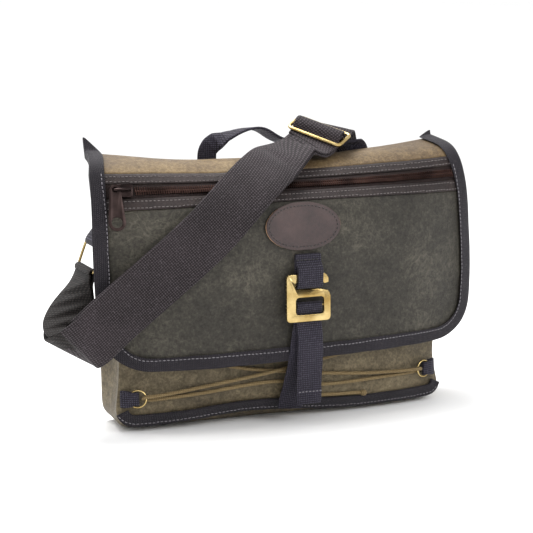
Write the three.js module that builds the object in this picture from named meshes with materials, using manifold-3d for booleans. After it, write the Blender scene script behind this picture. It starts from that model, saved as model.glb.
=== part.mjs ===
// A waxed canvas messenger bag, closed and standing on its flat underside.
// Millimetres. X runs to the viewer's right, the front faces -Y, +Z is up.
// The origin is the middle of the flat underside.

import * as THREE from "three";
import { mergeVertices } from "three/addons/utils/BufferGeometryUtils.js";
import Module from "manifold-3d";

const wasm = await Module();
wasm.setup();

// Driving sizes of the bag

const bodyWidth = 344;
const flapOverhang = 18;
const flapWidth = bodyWidth + 2 * flapOverhang;
const bodyHeight = 246;
const sideDepth = 52;
const frontBelly = 38;
const upperPanelLength = 58;
const sideTuck = 6;
const topSag = 13;
const lowerEdgeRise = 3;
const seamHeight = 5;
const seamPull = 8;

// Cloth, tape and webbing

const canvas = 1.6;
const layerGap = 0.4;
const seamGap = 0.4;
const tape = 0.9;
const bindingWidth = 12;
const bindingGap = 1.2;
const backTaper = 8;
const flapCornerRadius = 42;
const bodyCornerRadius = 20;
const closureWidth = 25.4;
const closureWebbing = 1.8;
const strapWidth = 50;
const strapWebbing = 2.2;
const handleWidth = 19;
const handleWebbing = 2.4;
const handleRise = 30;

// Zip

const bandWidth = 11;
const bandThickness = 2.1;
const zipOpening = 15;
const chainWidth = 9;
const chainHeight = 2.4;
const zipTape = 0.8;
const sliderLength = 18;
const sliderWidth = 13;
const sliderHeight = 5;
const bailWire = 2.6;
const pullLength = 43;
const pullTopWidth = 10;
const pullFootWidth = 16;
const pullThickness = 1.8;
const pullHole = 5.4;
const fingerHole = 10;
const pullClearance = 0.6;

// Leather patch

const patchLength = 76;
const patchHeight = 44;
const patchThickness = 2.2;

// Brass

const strapRingInner = 51;
const strapRingHeight = 26;
const strapRingWire = 3;
const slideInner = 52;
const slideHeight = 27;
const slideWire = 3.6;
const hookWidth = 44;
const hookHeight = 45;
const hookPlate = 3.4;
const hookSlotWidth = 28.5;
const hookSlotHeight = 16.5;
const hookBar = 2.8;
const hookSideBar = 9;
const hookFootBar = 6.5;
const hookMidPlate = 7.5;
const hookArm = 8;
const hookStandoff = 7.4;
const laceRingOuter = 18.5;
const laceRingWire = 2.2;

// Lacing

const cordDiameter = 3.2;
const laceTabWidth = 16;
const laceTabFold = 12.4;
const laceTabWebbing = 1.2;
const ringTabWidth = 40;
const ringTabLength = 17;
const ringStandoff = 6;
const ringTabWebbing = 2.0;

// Clearances between pieces that touch on the real bag

const fit = 0.35;
const strapClearance = 6.5;
const strapLayerGap = 1.2;

const rad = THREE.MathUtils.degToRad;
const vec = (x, y, z) => new THREE.Vector3(x, y, z);

// The flap's sections, from the seam at the back, over the top and down the front to its lower edge.
// edgeY: share of the side depth. edgeZ: share of the body height. belly: share of the front belly, by which
// the middle stands forward of the edges. sag: share of the top's sag, by which the middle lies lower.
// left and right: shares of half the flap's width. skew: share of the lower edge's rise to the right.

const flapRows = [
  { place: "back seam", edgeY: 0.5, belly: 0, edgeZ: 1.04, sag: 1, left: 0.947, right: 0.937, skew: 0 },
  { place: "top", edgeY: 0.06, belly: 0, edgeZ: 1.03, sag: 0.6, left: 0.963, right: 0.937, skew: 0 },
  { place: "front of top", edgeY: -0.31, belly: 0, edgeZ: 1.016, sag: 0.4, left: 0.99, right: 0.94, skew: 0 },
  { place: "upper band", edgeY: -0.48, belly: 0.13, edgeZ: 0.984, sag: 0.46, left: 1.004, right: 0.95, skew: 0 },
  { place: "zip", edgeY: -0.54, belly: 0.42, edgeZ: 0.919, sag: 0.2, left: 1.004, right: 0.97, skew: 0 },
  { place: "lower band", edgeY: -0.55, belly: 0.75, edgeZ: 0.841, sag: -0.23, left: 1, right: 0.985, skew: 0 },
  { place: "patch", edgeY: -0.54, belly: 0.95, edgeZ: 0.748, sag: -0.23, left: 0.998, right: 0.996, skew: 0.1 },
  { place: "above hook", edgeY: -0.52, belly: 1, edgeZ: 0.618, sag: -0.23, left: 0.994, right: 1.006, skew: 0.3 },
  { place: "hook", edgeY: -0.5, belly: 0.95, edgeZ: 0.48, sag: -0.3, left: 0.986, right: 1.01, skew: 0.5 },
  { place: "below hook", edgeY: -0.5, belly: 0.9, edgeZ: 0.358, sag: -0.3, left: 0.974, right: 1.006, skew: 0.8 },
  { place: "lower edge", edgeY: -0.56, belly: 0.87, edgeZ: 0.252, sag: -0.15, left: 0.962, right: 0.99, skew: 1 },
];

// The front panel's sections, from its lower seam up to the open top, of which the flap hides all but a quarter.
// rise: share of the height from seam to top. left and right: shares of half the body's width, drawn in
// where the lacing tabs pull on the sides.

const frontRows = [
  { rise: 0, edgeY: -0.46, belly: 0.3, left: 1.02, right: 0.965 },
  { rise: 0.06, edgeY: -0.48, belly: 0.5, left: 1.01, right: 0.945 },
  { rise: 0.13, edgeY: -0.44, belly: 0.62, left: 0.99, right: 0.915 },
  { rise: 0.25, edgeY: -0.43, belly: 0.66, left: 0.975, right: 0.925 },
  { rise: 0.5, edgeY: -0.41, belly: 0.68, left: 0.97, right: 0.95 },
  { rise: 0.72, edgeY: -0.42, belly: 0.68, left: 0.972, right: 0.96 },
  { rise: 0.88, edgeY: -0.44, belly: 0.4, left: 0.975, right: 0.96 },
  { rise: 1, edgeY: -0.4, belly: 0.1, left: 0.975, right: 0.96 },
];

// Soft hollows (depth below zero is a swelling) in the cloth. x and s: shares of the half width and of the
// length from the top (flap) or from the seam up (front panel). wide and high: shares of the same. turn: degrees.

const flapDents = [
  { x: -0.3, s: 0.13, depth: 2.4, wide: 0.22, high: 0.06, turn: 0 },
  { x: 0.42, s: 0.56, depth: 1.6, wide: 0.1, high: 0.3, turn: 6 },
  { x: -0.6, s: 0.62, depth: -1.4, wide: 0.25, high: 0.25, turn: 0 },
  { x: 0.75, s: 0.5, depth: -1.2, wide: 0.16, high: 0.3, turn: 0 },
];
const frontDents = [
  { x: -0.8, s: 0.19, depth: 3.2, wide: 0.05, high: 0.06, turn: 20 },
  { x: -0.66, s: 0.24, depth: -1.8, wide: 0.12, high: 0.08, turn: 0 },
  { x: 0.9, s: 0.31, depth: 3.5, wide: 0.035, high: 0.08, turn: -4 },
  { x: 0.3, s: 0.1, depth: 1.6, wide: 0.3, high: 0.04, turn: 0 },
];

// How full a section is across: it goes from middle to edge by this power of x
const bellyFullness = 2.6;
const sagFullness = 2;

// A smooth curve through one column of a table, at row number t, straight on past both ends
function column(rows, name, t) {
  const last = rows.length - 1;
  const i = Math.min(Math.max(Math.floor(t), 0), last - 1);
  const at = (k) => rows[Math.min(Math.max(k, 0), last)][name];
  const before = i > 0 ? at(i - 1) : 2 * at(0) - at(1);
  const after = i < last - 1 ? at(i + 2) : 2 * at(last) - at(last - 1);
  const f = t - i;
  const slopeIn = (at(i + 1) - before) / 2;
  const slopeOut = (after - at(i)) / 2;
  if (f < 0) return at(0) + f * slopeIn;
  if (f > 1) return at(last) + (f - 1) * slopeOut;
  const rise = at(i + 1) - at(i);
  const bend = 3 * rise - 2 * slopeIn - slopeOut;
  const twist = slopeIn + slopeOut - 2 * rise;
  return at(i) + f * (slopeIn + f * (bend + f * twist));
}

// The row number at which a rising measure of the rows reaches a value
function rowAt(measure, value, last) {
  let low = -1;
  let high = last + 1;
  for (let step = 0; step < 40; step++) {
    const middle = (low + high) / 2;
    if (measure(middle) < value) low = middle;
    else high = middle;
  }
  return (low + high) / 2;
}

// A surface is a function of x (across) and s (along) that gives a point, with an offset along its outer normal.
// side is 1 where s runs down the front, -1 where it runs up.
function withNormal(point, side) {
  const reach = 0.5;
  return (x, s, out = 0) => {
    const here = point(x, s);
    if (out === 0) return here;
    const across = point(x + reach, s).sub(point(x - reach, s));
    const along = point(x, s + reach).sub(point(x, s - reach));
    return here.addScaledVector(along.cross(across).normalize(), side * out);
  };
}

// The depth of all hollows of a list at one place, both given as shares
function hollow(dents, x, s) {
  let depth = 0;
  for (const dent of dents) {
    const turn = rad(dent.turn);
    const dx = x - dent.x;
    const ds = s - dent.s;
    const across = (dx * Math.cos(turn) + ds * Math.sin(turn)) / dent.wide;
    const along = (ds * Math.cos(turn) - dx * Math.sin(turn)) / dent.high;
    depth += dent.depth * Math.exp(-(across * across) - along * along);
  }
  return depth;
}

// The flap's surface

const flapLast = flapRows.length - 1;
const flapHalf = (x, t) => (flapWidth / 2) * column(flapRows, x < 0 ? "left" : "right", t);

function flapSection(x, t) {
  const u = x / flapHalf(x, t);
  const get = (name) => column(flapRows, name, t);
  const belly = get("belly") * frontBelly * (1 - Math.abs(u) ** bellyFullness);
  const sag = get("sag") * topSag * (1 - Math.abs(u) ** sagFullness);
  return vec(x, get("edgeY") * sideDepth - belly, get("edgeZ") * bodyHeight - sag + get("skew") * lowerEdgeRise * u);
}

// The distance down the flap's middle line at each quarter row, to go from millimetres to rows
const flapSteps = 4;
const flapRun = [0];
for (let k = 1; k <= flapLast * flapSteps; k++) {
  const step = flapSection(0, k / flapSteps).distanceTo(flapSection(0, (k - 1) / flapSteps));
  flapRun.push(flapRun[k - 1] + step);
}
const flapLength = flapRun[flapRun.length - 1];

function flapRow(s) {
  const last = flapRun.length - 1;
  let k = 0;
  while (k < last - 1 && flapRun[k + 1] < s) k++;
  return (k + (s - flapRun[k]) / (flapRun[k + 1] - flapRun[k])) / flapSteps;
}

// How much narrower an outline with a rounded corner is at a distance from its end
function cornerInset(radius, distance) {
  const inside = Math.max(0, radius - Math.max(0, distance));
  return radius - Math.sqrt(Math.max(0, radius * radius - inside * inside));
}

const flapInset = (s) => cornerInset(flapCornerRadius, flapLength - s);
const flapLeft = (s) => -flapHalf(-1, flapRow(s)) + flapInset(s);
const flapRight = (s) => flapHalf(1, flapRow(s)) - flapInset(s);

const flap = withNormal((x, s) => {
  const place = flapSection(x, flapRow(s));
  place.y += hollow(flapDents, (2 * x) / flapWidth, s / flapLength);
  return place;
}, 1);

// The front panel's surface, x across and s up from the lower seam

const frontTop = bodyHeight * 0.93;
const frontRowAt = (rise) => rowAt((t) => column(frontRows, "rise", t), rise, frontRows.length - 1);
const seamZ = (x) => seamHeight + seamPull * Math.exp(-(((2 * x) / bodyWidth + 0.25) ** 2) / 0.16);
const frontHalf = (x, rise) =>
  (bodyWidth / 2) * column(frontRows, x < 0 ? "left" : "right", frontRowAt(rise));
const bodyInset = (s) => cornerInset(bodyCornerRadius, s);
const frontLeft = (s) => -frontHalf(-1, s / frontTop) + bodyInset(s);
const frontRight = (s) => frontHalf(1, s / frontTop) - bodyInset(s);

const front = withNormal((x, s) => {
  const rise = s / frontTop;
  const t = frontRowAt(rise);
  const u = Math.min(1.2, Math.abs(x) / frontHalf(x, rise));
  const belly = column(frontRows, "belly", t) * frontBelly * (1 - u ** bellyFullness);
  const y = column(frontRows, "edgeY", t) * sideDepth - belly;
  const low = seamZ(x);
  return vec(x, y + hollow(frontDents, (2 * x) / bodyWidth, rise), low + rise * (frontTop - low));
}, -1);

// Closed walls and sweeps

const materials = {};
function material(name, color, roughness, metalness = 0) {
  materials[name] = new THREE.MeshStandardMaterial({ color, roughness, metalness });
}
material("oliveCanvas", 0x45432f, 0.85);
material("bodyCanvas", 0x6d6548, 0.85);
material("tanCanvas", 0x84704a, 0.85);
material("bandCloth", 0x40332f, 0.85);
material("bindingTape", 0x35323a, 0.85);
material("closureWebbing", 0x2b2a36, 0.85);
material("strapWebbing", 0x3b3337, 0.85);
material("leather", 0x5a3d31, 0.6);
material("zipMetal", 0x6a4636, 0.45, 0.7);
material("brass", 0xc9a042, 0.3, 1);
material("cord", 0x8c7448, 0.8);

const bag = new THREE.Group();
bag.name = "messenger_bag";

function addMesh(name, geometry, finish) {
  geometry.computeVertexNormals();
  const mesh = new THREE.Mesh(geometry, materials[finish]);
  mesh.name = name;
  bag.add(mesh);
  return mesh;
}

// Rings of points from one end to the other, with both ends capped. Each ring runs counter-clockwise when
// seen from the end that the rings run towards.
function closedRings(rings) {
  const count = rings[0].length;
  const points = rings.flat();
  const rise = (a, b) => Math.abs(points[a].z - points[b].z);
  const index = [];
  for (let i = 0; i < rings.length - 1; i++) {
    for (let j = 0; j < count; j++) {
      const a = i * count + j;
      const b = i * count + ((j + 1) % count);
      // The steeper diagonal, so that both faces of a twisted ribbon fold alike
      if (rise(a, b + count) > rise(b, a + count)) index.push(a, b, b + count, a, b + count, a + count);
      else index.push(a, b, a + count, b, b + count, a + count);
    }
  }
  const capOf = (ring, start, turned) => {
    const axes = ringPlane(ring);
    const outline = ring.map((p) => new THREE.Vector2(p.dot(axes.right), p.dot(axes.up)));
    for (const [a, b, c] of THREE.ShapeUtils.triangulateShape(outline, [])) {
      if (turned) index.push(start + a, start + c, start + b);
      else index.push(start + a, start + b, start + c);
    }
  };
  capOf(rings[0], 0, true);
  capOf(rings[rings.length - 1], (rings.length - 1) * count, false);
  const geometry = new THREE.BufferGeometry().setFromPoints(points);
  geometry.setIndex(index);
  return geometry;
}

// Two directions in the plane of a ring of points, so that the ring is counter-clockwise in them
function ringPlane(ring) {
  const normal = vec(0, 0, 0);
  ring.forEach((p, i) => normal.add(p.clone().cross(ring[(i + 1) % ring.length])));
  normal.normalize();
  const right = ring[1].clone().sub(ring[0]);
  right.addScaledVector(normal, -right.dot(normal)).normalize();
  return { right, up: normal.clone().cross(right) };
}

// Rings of points round a closed path, with no caps
function closedLoop(rings) {
  const count = rings[0].length;
  const points = rings.flat();
  const index = [];
  rings.forEach((_, i) => {
    for (let j = 0; j < count; j++) {
      const a = i * count + j;
      const b = i * count + ((j + 1) % count);
      const next = (((i + 1) % rings.length) - i) * count;
      index.push(a, b, b + next, a, b + next, a + next);
    }
  });
  const geometry = new THREE.BufferGeometry().setFromPoints(points);
  geometry.setIndex(index);
  return geometry;
}

// A wall between two grids of points, both rows by columns, whose edges are joined all round
function wall(outer, inner) {
  const rows = outer.length;
  const columns = outer[0].length;
  const back = rows * columns;
  const index = [];
  const quad = (a, b, c, d) => index.push(a, b, c, a, c, d);
  const at = (i, j) => i * columns + j;
  for (let i = 0; i < rows - 1; i++) {
    for (let j = 0; j < columns - 1; j++) {
      quad(at(i, j), at(i + 1, j), at(i + 1, j + 1), at(i, j + 1));
      quad(back + at(i, j), back + at(i, j + 1), back + at(i + 1, j + 1), back + at(i + 1, j));
    }
  }
  const rim = [];
  for (let j = 0; j < columns - 1; j++) rim.push(at(0, j));
  for (let i = 0; i < rows - 1; i++) rim.push(at(i, columns - 1));
  for (let j = columns - 1; j > 0; j--) rim.push(at(rows - 1, j));
  for (let i = rows - 1; i > 0; i--) rim.push(at(i, 0));
  rim.forEach((a, k) => {
    const b = rim[(k + 1) % rim.length];
    quad(a, b, back + b, back + a);
  });
  const geometry = new THREE.BufferGeometry().setFromPoints([...outer.flat(), ...inner.flat()]);
  geometry.setIndex(index);
  return geometry;
}

// count + 1 even steps from a to b
const steps = (a, b, count) => Array.from({ length: count + 1 }, (_, k) => a + ((b - a) * k) / count);
const between = (list, low, high) => list.filter((value) => value > low + 1 && value < high - 1);
const mix = THREE.MathUtils.lerp;

// The flap: two layers of canvas, the zip between two bands, and the binding round three sides

const bandTop = upperPanelLength;
const zipTop = bandTop + bandWidth;
const zipFoot = zipTop + zipOpening;
const zipMiddle = (zipTop + zipFoot) / 2;
const bandFoot = zipFoot + bandWidth;
const cornerSteps = 5;
const flapColumns = steps(0, 1, 16);
const flapCorner = steps(0, 90, cornerSteps).map((angle) => flapLength - flapCornerRadius * (1 - Math.sin(rad(angle))));
const flapGrid = [
  ...steps(0, bandTop, 5),
  zipTop,
  zipFoot,
  ...steps(bandFoot, flapCorner[0], 6),
  ...flapCorner.slice(1),
];

function flapSheet(name, finish, from, to, low, high, left = flapLeft, right = flapRight) {
  const rows = [from, ...between(flapGrid, from, to), to];
  const grid = (out) =>
    rows.map((s) => flapColumns.map((share) => flap(mix(left(s), right(s), share), s, out)));
  addMesh(name, wall(grid(high), grid(low)), finish);
}

const liningInside = -canvas - layerGap;
flapSheet("flap_lining", "oliveCanvas", fit, flapLength, liningInside, -layerGap);
flapSheet("flap_upper_panel", "tanCanvas", fit, bandTop - fit, 0, canvas);
flapSheet("zip_band_upper", "bandCloth", bandTop, zipTop, 0, bandThickness);
flapSheet("zip_tape", "bandCloth", zipTop + fit, zipFoot - fit, 0, zipTape);
flapSheet("zip_band_lower", "bandCloth", zipFoot, bandFoot, 0, bandThickness);
flapSheet("flap_front_panel", "oliveCanvas", bandFoot + fit, flapLength, 0, canvas);

const sliderX = flapLeft(zipMiddle) + bindingWidth + sliderLength / 2 + 6;
const chainLow = zipTape + fit + 0.1;
const chainLeft = () => sliderX + sliderLength / 2 + fit;
const chainRight = (s) => flapRight(s) - bindingWidth - 1;
flapSheet(
  "zip_chain", "zipMetal",
  zipMiddle - chainWidth / 2, zipMiddle + chainWidth / 2,
  chainLow, chainLow + chainHeight, chainLeft, chainRight,
);

// The binding folds round the flap's edge: a C section, with its open side towards the flap's middle
const bindingOut = bandThickness + bindingGap;
const bindingBack = liningInside - bindingGap;
const bindingSection = [
  [bindingWidth, bindingOut + tape],
  [-fit - tape, bindingOut + tape],
  [-fit - tape, bindingBack - tape],
  [bindingWidth, bindingBack - tape],
  [bindingWidth, bindingBack],
  [-fit, bindingBack],
  [-fit, bindingOut],
  [bindingWidth, bindingOut],
];

function flapEdge() {
  const side = flapGrid.filter((s) => s < flapCorner[0] + 1);
  const arc = steps(0, 90, cornerSteps).slice(1, -1);
  const arcS = (angle) => flapLength - flapCornerRadius * (1 - Math.sin(rad(angle)));
  const arcPoint = (edge, sign) => (angle) => ({
    x: edge(arcS(angle)),
    s: arcS(angle),
    inX: sign * Math.cos(rad(angle)),
    inS: -Math.sin(rad(angle)),
  });
  const sidePoint = (edge, sign) => (s) => ({ x: edge(s), s, inX: sign, inS: 0 });
  const foot = flapColumns.map((share) => ({
    x: mix(flapLeft(flapLength), flapRight(flapLength), share),
    s: flapLength,
    inX: 0,
    inS: -1,
  }));
  return [
    ...side.map(sidePoint(flapLeft, 1)),
    ...arc.map(arcPoint(flapLeft, 1)),
    ...foot,
    ...arc.map(arcPoint(flapRight, -1)).reverse(),
    ...side.map(sidePoint(flapRight, -1)).reverse(),
  ];
}

// At both back corners the tape's end stands up as a small ear
const earRise = { left: 14, right: 5 };
function ear(ring, rise, side) {
  const tip = ring[1].clone().add(vec(side * 0.1 * rise, 0.35 * rise, rise));
  const towards = (share, lift) => ring.map((p) => p.clone().lerp(tip, share).add(vec(0, lift, 0)));
  return [towards(0.85, 1), towards(0.5, 1)];
}

function flapBinding() {
  const rings = flapEdge().map((at) =>
    bindingSection.map(([inward, out]) => flap(at.x + at.inX * inward, at.s + at.inS * inward, out)),
  );
  const last = rings[rings.length - 1];
  addMesh(
    "flap_binding",
    closedRings([
      ...ear(rings[0], earRise.left, -1),
      ...rings,
      ...ear(last, earRise.right, 1).reverse(),
    ]),
    "bindingTape",
  );
}
flapBinding();

// The body: front panel, back panel, and one gusset strip for both sides and the underside

const bodyColumns = steps(0, 1, 16);
const wallHeights = [1, 0.9, 0.78, 0.64, 0.5, 0.36, 0.25, 0.17].map((share) => share * frontTop);
const bodyCorner = steps(0, 90, 4).map((angle) => bodyCornerRadius * (1 - Math.sin(rad(angle))));
const bodyHeights = [...wallHeights, ...bodyCorner];

function frontPanel() {
  const grid = (out) =>
    bodyHeights.map((s) => bodyColumns.map((share) => front(mix(frontLeft(s), frontRight(s), share), s, out)));
  addMesh("front_panel", wall(grid(0), grid(-canvas)), "bodyCanvas");
}
frontPanel();

const backY = sideDepth / 2;
const backTop = (x) => flap(x, 0).z + liningInside - fit;
const backInset = (z) => cornerInset(bodyCornerRadius, z);
const backHalf = (z) => bodyWidth / 2 - backInset(z) - backTaper * (z / bodyHeight) ** 4;

function backPanel() {
  const heights = [1, 0.75, 0.5, 0.25];
  const columns = steps(1, -1, 16);
  const grid = (y) => [
    ...heights.map((share) =>
      columns.map((u) => vec(u * backHalf(share * bodyHeight), y, share * backTop(u * backHalf(bodyHeight)))),
    ),
    ...bodyCorner.map((z) => columns.map((u) => vec(u * backHalf(z), y, z))),
  ];
  addMesh("back_panel", wall(grid(backY), grid(backY - canvas)), "bodyCanvas");
}
backPanel();

// Stations of the gusset from the top of the left side, down, along the underside and up the right side
function gussetStations() {
  const wallAt = (side) => (s) => ({ side, s, down: 0 });
  const corner = (side) => (s) => ({ side, s, down: 1 - s / bodyCornerRadius });
  const foot = bodyColumns.slice(1, -1).map((share) => ({ share, s: 0, down: 1 }));
  const arc = bodyCorner.slice(1);
  return [
    ...wallHeights.map(wallAt(-1)),
    bodyCornerRadius,
    ...arc.map(corner(-1)),
    ...foot,
    ...arc.map(corner(1)).reverse(),
    bodyCornerRadius,
    ...wallHeights.map(wallAt(1)).reverse(),
  ].map((at, i) => (typeof at === "number" ? { side: i < 12 ? -1 : 1, s: at, down: 0 } : at));
}

const gussetTop = bodyHeight * 0.985;
const gussetBackY = backY - canvas - seamGap;

// The share of the depth, counted from the front seam, from which the underside lies flat
const flatFrom = 0.36;

// The gusset's outer face, across from the front seam (t = 0) to the back seam (t = 1)
function gussetPoint({ side, share, s, down }, t) {
  const onSide = share === undefined;
  const sideX = side < 0 ? frontLeft(s) : frontRight(s);
  const xFront = onSide ? sideX : mix(frontLeft(0), frontRight(0), share);
  const xBack = onSide ? side * backHalf(s) : mix(-backHalf(0), backHalf(0), share);
  const near = front(xFront, s, -canvas - seamGap);
  const rise = s / frontTop;
  const backRise = rise * gussetTop * t;
  const fall = Math.max(0, 1 - t / flatFrom) ** 2;
  const z = backRise + near.z * mix(1 - t, fall, down);
  const hang = Math.sin(Math.PI * t) * Math.sin(Math.PI * Math.min(1, rise + 0.15));
  const tuck = onSide ? side * sideTuck * (1 - down) * hang : 0;
  return vec(mix(near.x, xBack, t) - tuck, mix(near.y, gussetBackY, t), z);
}

function gusset() {
  const across = [1, 0.85, 0.6, flatFrom, 0.24, 0.12, 0];
  const outer = gussetStations().map((station) => across.map((t) => gussetPoint(station, t)));
  addMesh("gusset", wall(outer, thicken(outer, canvas)), "bodyCanvas");
}

// The grid's points moved inwards by a thickness, along the normals of the grid itself, and straight across at
// its front and back edges, so that these stay in the seams
function thicken(grid, thickness) {
  const rows = grid.length - 1;
  const columns = grid[0].length - 1;
  return grid.map((row, i) =>
    row.map((p, j) => {
      const down = grid[Math.min(i + 1, rows)][j].clone().sub(grid[Math.max(i - 1, 0)][j]);
      const along = grid[i][Math.min(j + 1, columns)].clone().sub(grid[i][Math.max(j - 1, 0)]);
      const normal = down.cross(along);
      if (j === 0 || j === columns) normal.y = 0;
      return p.clone().addScaledVector(normal.normalize(), -thickness);
    }),
  );
}
gusset();

// The bound seam between front panel and underside lies turned up against the front panel
const bodyBindingOut = 3.2;
const bodyBindingLift = 1.2;

function bodyBinding() {
  const corner = bodyCorner.slice(1, -1);
  const path = [
    ...corner.map((s) => ({ x: frontLeft(s), s, side: -1 })),
    ...bodyColumns.map((share) => ({ x: mix(frontLeft(0), frontRight(0), share), s: 0, side: 0 })),
    ...corner.map((s) => ({ x: frontRight(s), s, side: 1 })).reverse(),
  ];
  const section = [
    [bindingWidth, bodyBindingOut + bodyBindingLift],
    [bindingWidth / 2, bodyBindingOut],
    [0, bodyBindingOut],
    [0, fit],
    [bindingWidth / 2, fit],
    [bindingWidth, fit + bodyBindingLift],
  ];
  const rings = path.map(({ x, s, side }) => {
    const lean = side === 0 ? 0 : 1 - s / bodyCornerRadius;
    const inward = side === 0 ? 0 : -side * Math.sqrt(1 - lean * lean);
    return section.map(([up, out]) => front(x + inward * up, s + up * (side === 0 ? 1 : lean), out));
  });
  addMesh("body_binding", closedRings(rings), "bindingTape");
}
bodyBinding();

// Webbing: a flat ribbon along rows, each with its middle point and the direction of its width
function ribbonRings(rows, width, thickness) {
  const last = rows.length - 1;
  return rows.map(({ at, wide, width: own }, i) => {
    const forward = rows[Math.min(i + 1, last)].at.clone().sub(rows[Math.max(i - 1, 0)].at).normalize();
    const across = wide.clone().addScaledVector(forward, -wide.dot(forward)).normalize();
    const face = forward.clone().cross(across);
    const corner = (w, h) => at.clone().addScaledVector(across, (w * (own ?? width)) / 2).addScaledVector(face, (h * thickness) / 2);
    return [corner(1, 1), corner(-1, 1), corner(-1, -1), corner(1, -1)];
  });
}

function ribbon(name, rows, width, thickness, finish) {
  addMesh(name, closedRings(ribbonRings(rows, width, thickness)), finish);
}

// A smooth ribbon path through a few rows
function smoothRows(rows, count) {
  const middle = new THREE.CatmullRomCurve3(rows.map((row) => row.at), false, "centripetal");
  const wide = new THREE.CatmullRomCurve3(rows.map((row) => row.wide));
  return steps(0, 1, count).map((t) => ({ at: middle.getPoint(t), wide: wide.getPoint(t) }));
}

// A round wire along a flat closed outline, in the plane of two directions
function wireLoop(outline, wire, sides, origin, right, up) {
  const across = right.clone().cross(up);
  const count = outline.length;
  return closedLoop(
    outline.map((p, i) => {
      const ahead = outline[(i + 1) % count].clone().sub(outline[(i + count - 1) % count]).normalize();
      const outward = right.clone().multiplyScalar(ahead.y).addScaledVector(up, -ahead.x);
      const middle = origin.clone().addScaledVector(right, p.x).addScaledVector(up, p.y);
      return steps(0, 360, sides).slice(0, -1).map((angle) =>
        middle
          .clone()
          .addScaledVector(outward, (-wire / 2) * Math.cos(rad(angle)))
          .addScaledVector(across, (wire / 2) * Math.sin(rad(angle))),
      );
    }),
  );
}

// The points of a rectangle with round corners, counter-clockwise, centred on its own origin
function roundedRectangle(width, height, radius, cornerPoints) {
  const corners = [
    [width / 2 - radius, height / 2 - radius, 0],
    [radius - width / 2, height / 2 - radius, 90],
    [radius - width / 2, radius - height / 2, 180],
    [width / 2 - radius, radius - height / 2, 270],
  ];
  return corners.flatMap(([x, y, start]) =>
    steps(start, start + 90, cornerPoints).map(
      (angle) => new THREE.Vector2(x + radius * Math.cos(rad(angle)), y + radius * Math.sin(rad(angle))),
    ),
  );
}

// Solids joined or cut

function solidOf(geometry) {
  const bare = geometry.clone();
  bare.deleteAttribute("normal");
  bare.deleteAttribute("uv");
  const merged = mergeVertices(bare, 1e-4);
  return new wasm.Manifold(
    new wasm.Mesh({
      numProp: 3,
      vertProperties: merged.attributes.position.array,
      triVerts: new Uint32Array(merged.index.array),
    }),
  );
}

function geometryOf(solid) {
  const mesh = solid.getMesh();
  const geometry = new THREE.BufferGeometry();
  geometry.setAttribute("position", new THREE.BufferAttribute(new Float32Array(mesh.vertProperties), 3));
  geometry.setIndex(Array.from(mesh.triVerts));
  return geometry;
}

// The oval leather patch under the zip's lower band
const patchS = bandFoot + 2 + patchHeight / 2;
const patchX = 0;

function leatherPatch() {
  const rows = steps(-78, 78, 10).map((angle) => Math.sin(rad(angle)));
  const columns = steps(-1, 1, 8);
  const base = canvas + fit;
  const grid = (out) =>
    rows.map((v) =>
      columns.map((u) =>
        flap(patchX + (u * patchLength * Math.sqrt(1 - v * v)) / 2, patchS + (v * patchHeight) / 2, out),
      ),
    );
  addMesh("leather_patch", wall(grid(base + patchThickness), grid(base)), "leather");
}
leatherPatch();

// The closure: a webbing loop sewn to the flap under the patch, the brass hook hanging in it, and the strap

const closureX = 3;
const loopTop = patchS + patchHeight / 2 + 3;
const loopFoot = loopTop + 31;
const loopSeam = 7;
const onFlap = canvas + fit + closureWebbing / 2;
const hookMid = canvas + hookStandoff;
const hookTopZ = flap(closureX, loopFoot, 0).z + hookArm + 4.5;
const hookY = flap(closureX, loopFoot, hookMid).y;
const hookX = closureX - 1;

function closureLoop() {
  const across = vec(1, 0, 0);
  const legGap = (hookMid + hookPlate / 2 + fit + closureWebbing / 2 - onFlap) / 2;
  const row = (s, out) => ({ at: flap(closureX, s, out), wide: across });
  const turn = flap(closureX, loopFoot - legGap, onFlap + legGap);
  const bend = steps(0, 180, 6).map((angle) => ({
    at: turn.clone().add(vec(0, legGap * Math.cos(rad(angle)), -legGap * Math.sin(rad(angle)))),
    wide: across,
  }));
  const spread = loopTop + loopSeam + 6;
  const rows = [
    row(loopTop, onFlap),
    row(loopTop + loopSeam, onFlap),
    row(spread, onFlap),
    ...bend,
    row(spread, onFlap + 2 * legGap),
    row(loopTop + loopSeam, onFlap + closureWebbing + fit),
    row(loopTop, onFlap + closureWebbing + fit),
  ];
  ribbon("closure_loop", rows, closureWidth, closureWebbing, "closureWebbing");
}
closureLoop();

// The hook is a flat plate in the shape of a G: side bar, arm with a turned-down tip, middle plate and slot
const hookLeft = hookX - hookWidth / 2;
const hookRight = hookX + hookWidth / 2;
const hookFootZ = hookTopZ - hookHeight;
const slotFootZ = hookFootZ + hookFootBar;
const slotTopZ = slotFootZ + hookSlotHeight;
const slotLeft = hookLeft + hookSideBar;
const slotRight = slotLeft + hookSlotWidth;
const slotX = (slotLeft + slotRight) / 2;
const barZ = (slotFootZ + slotTopZ) / 2;
const barBehind = hookPlate / 2;

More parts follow.
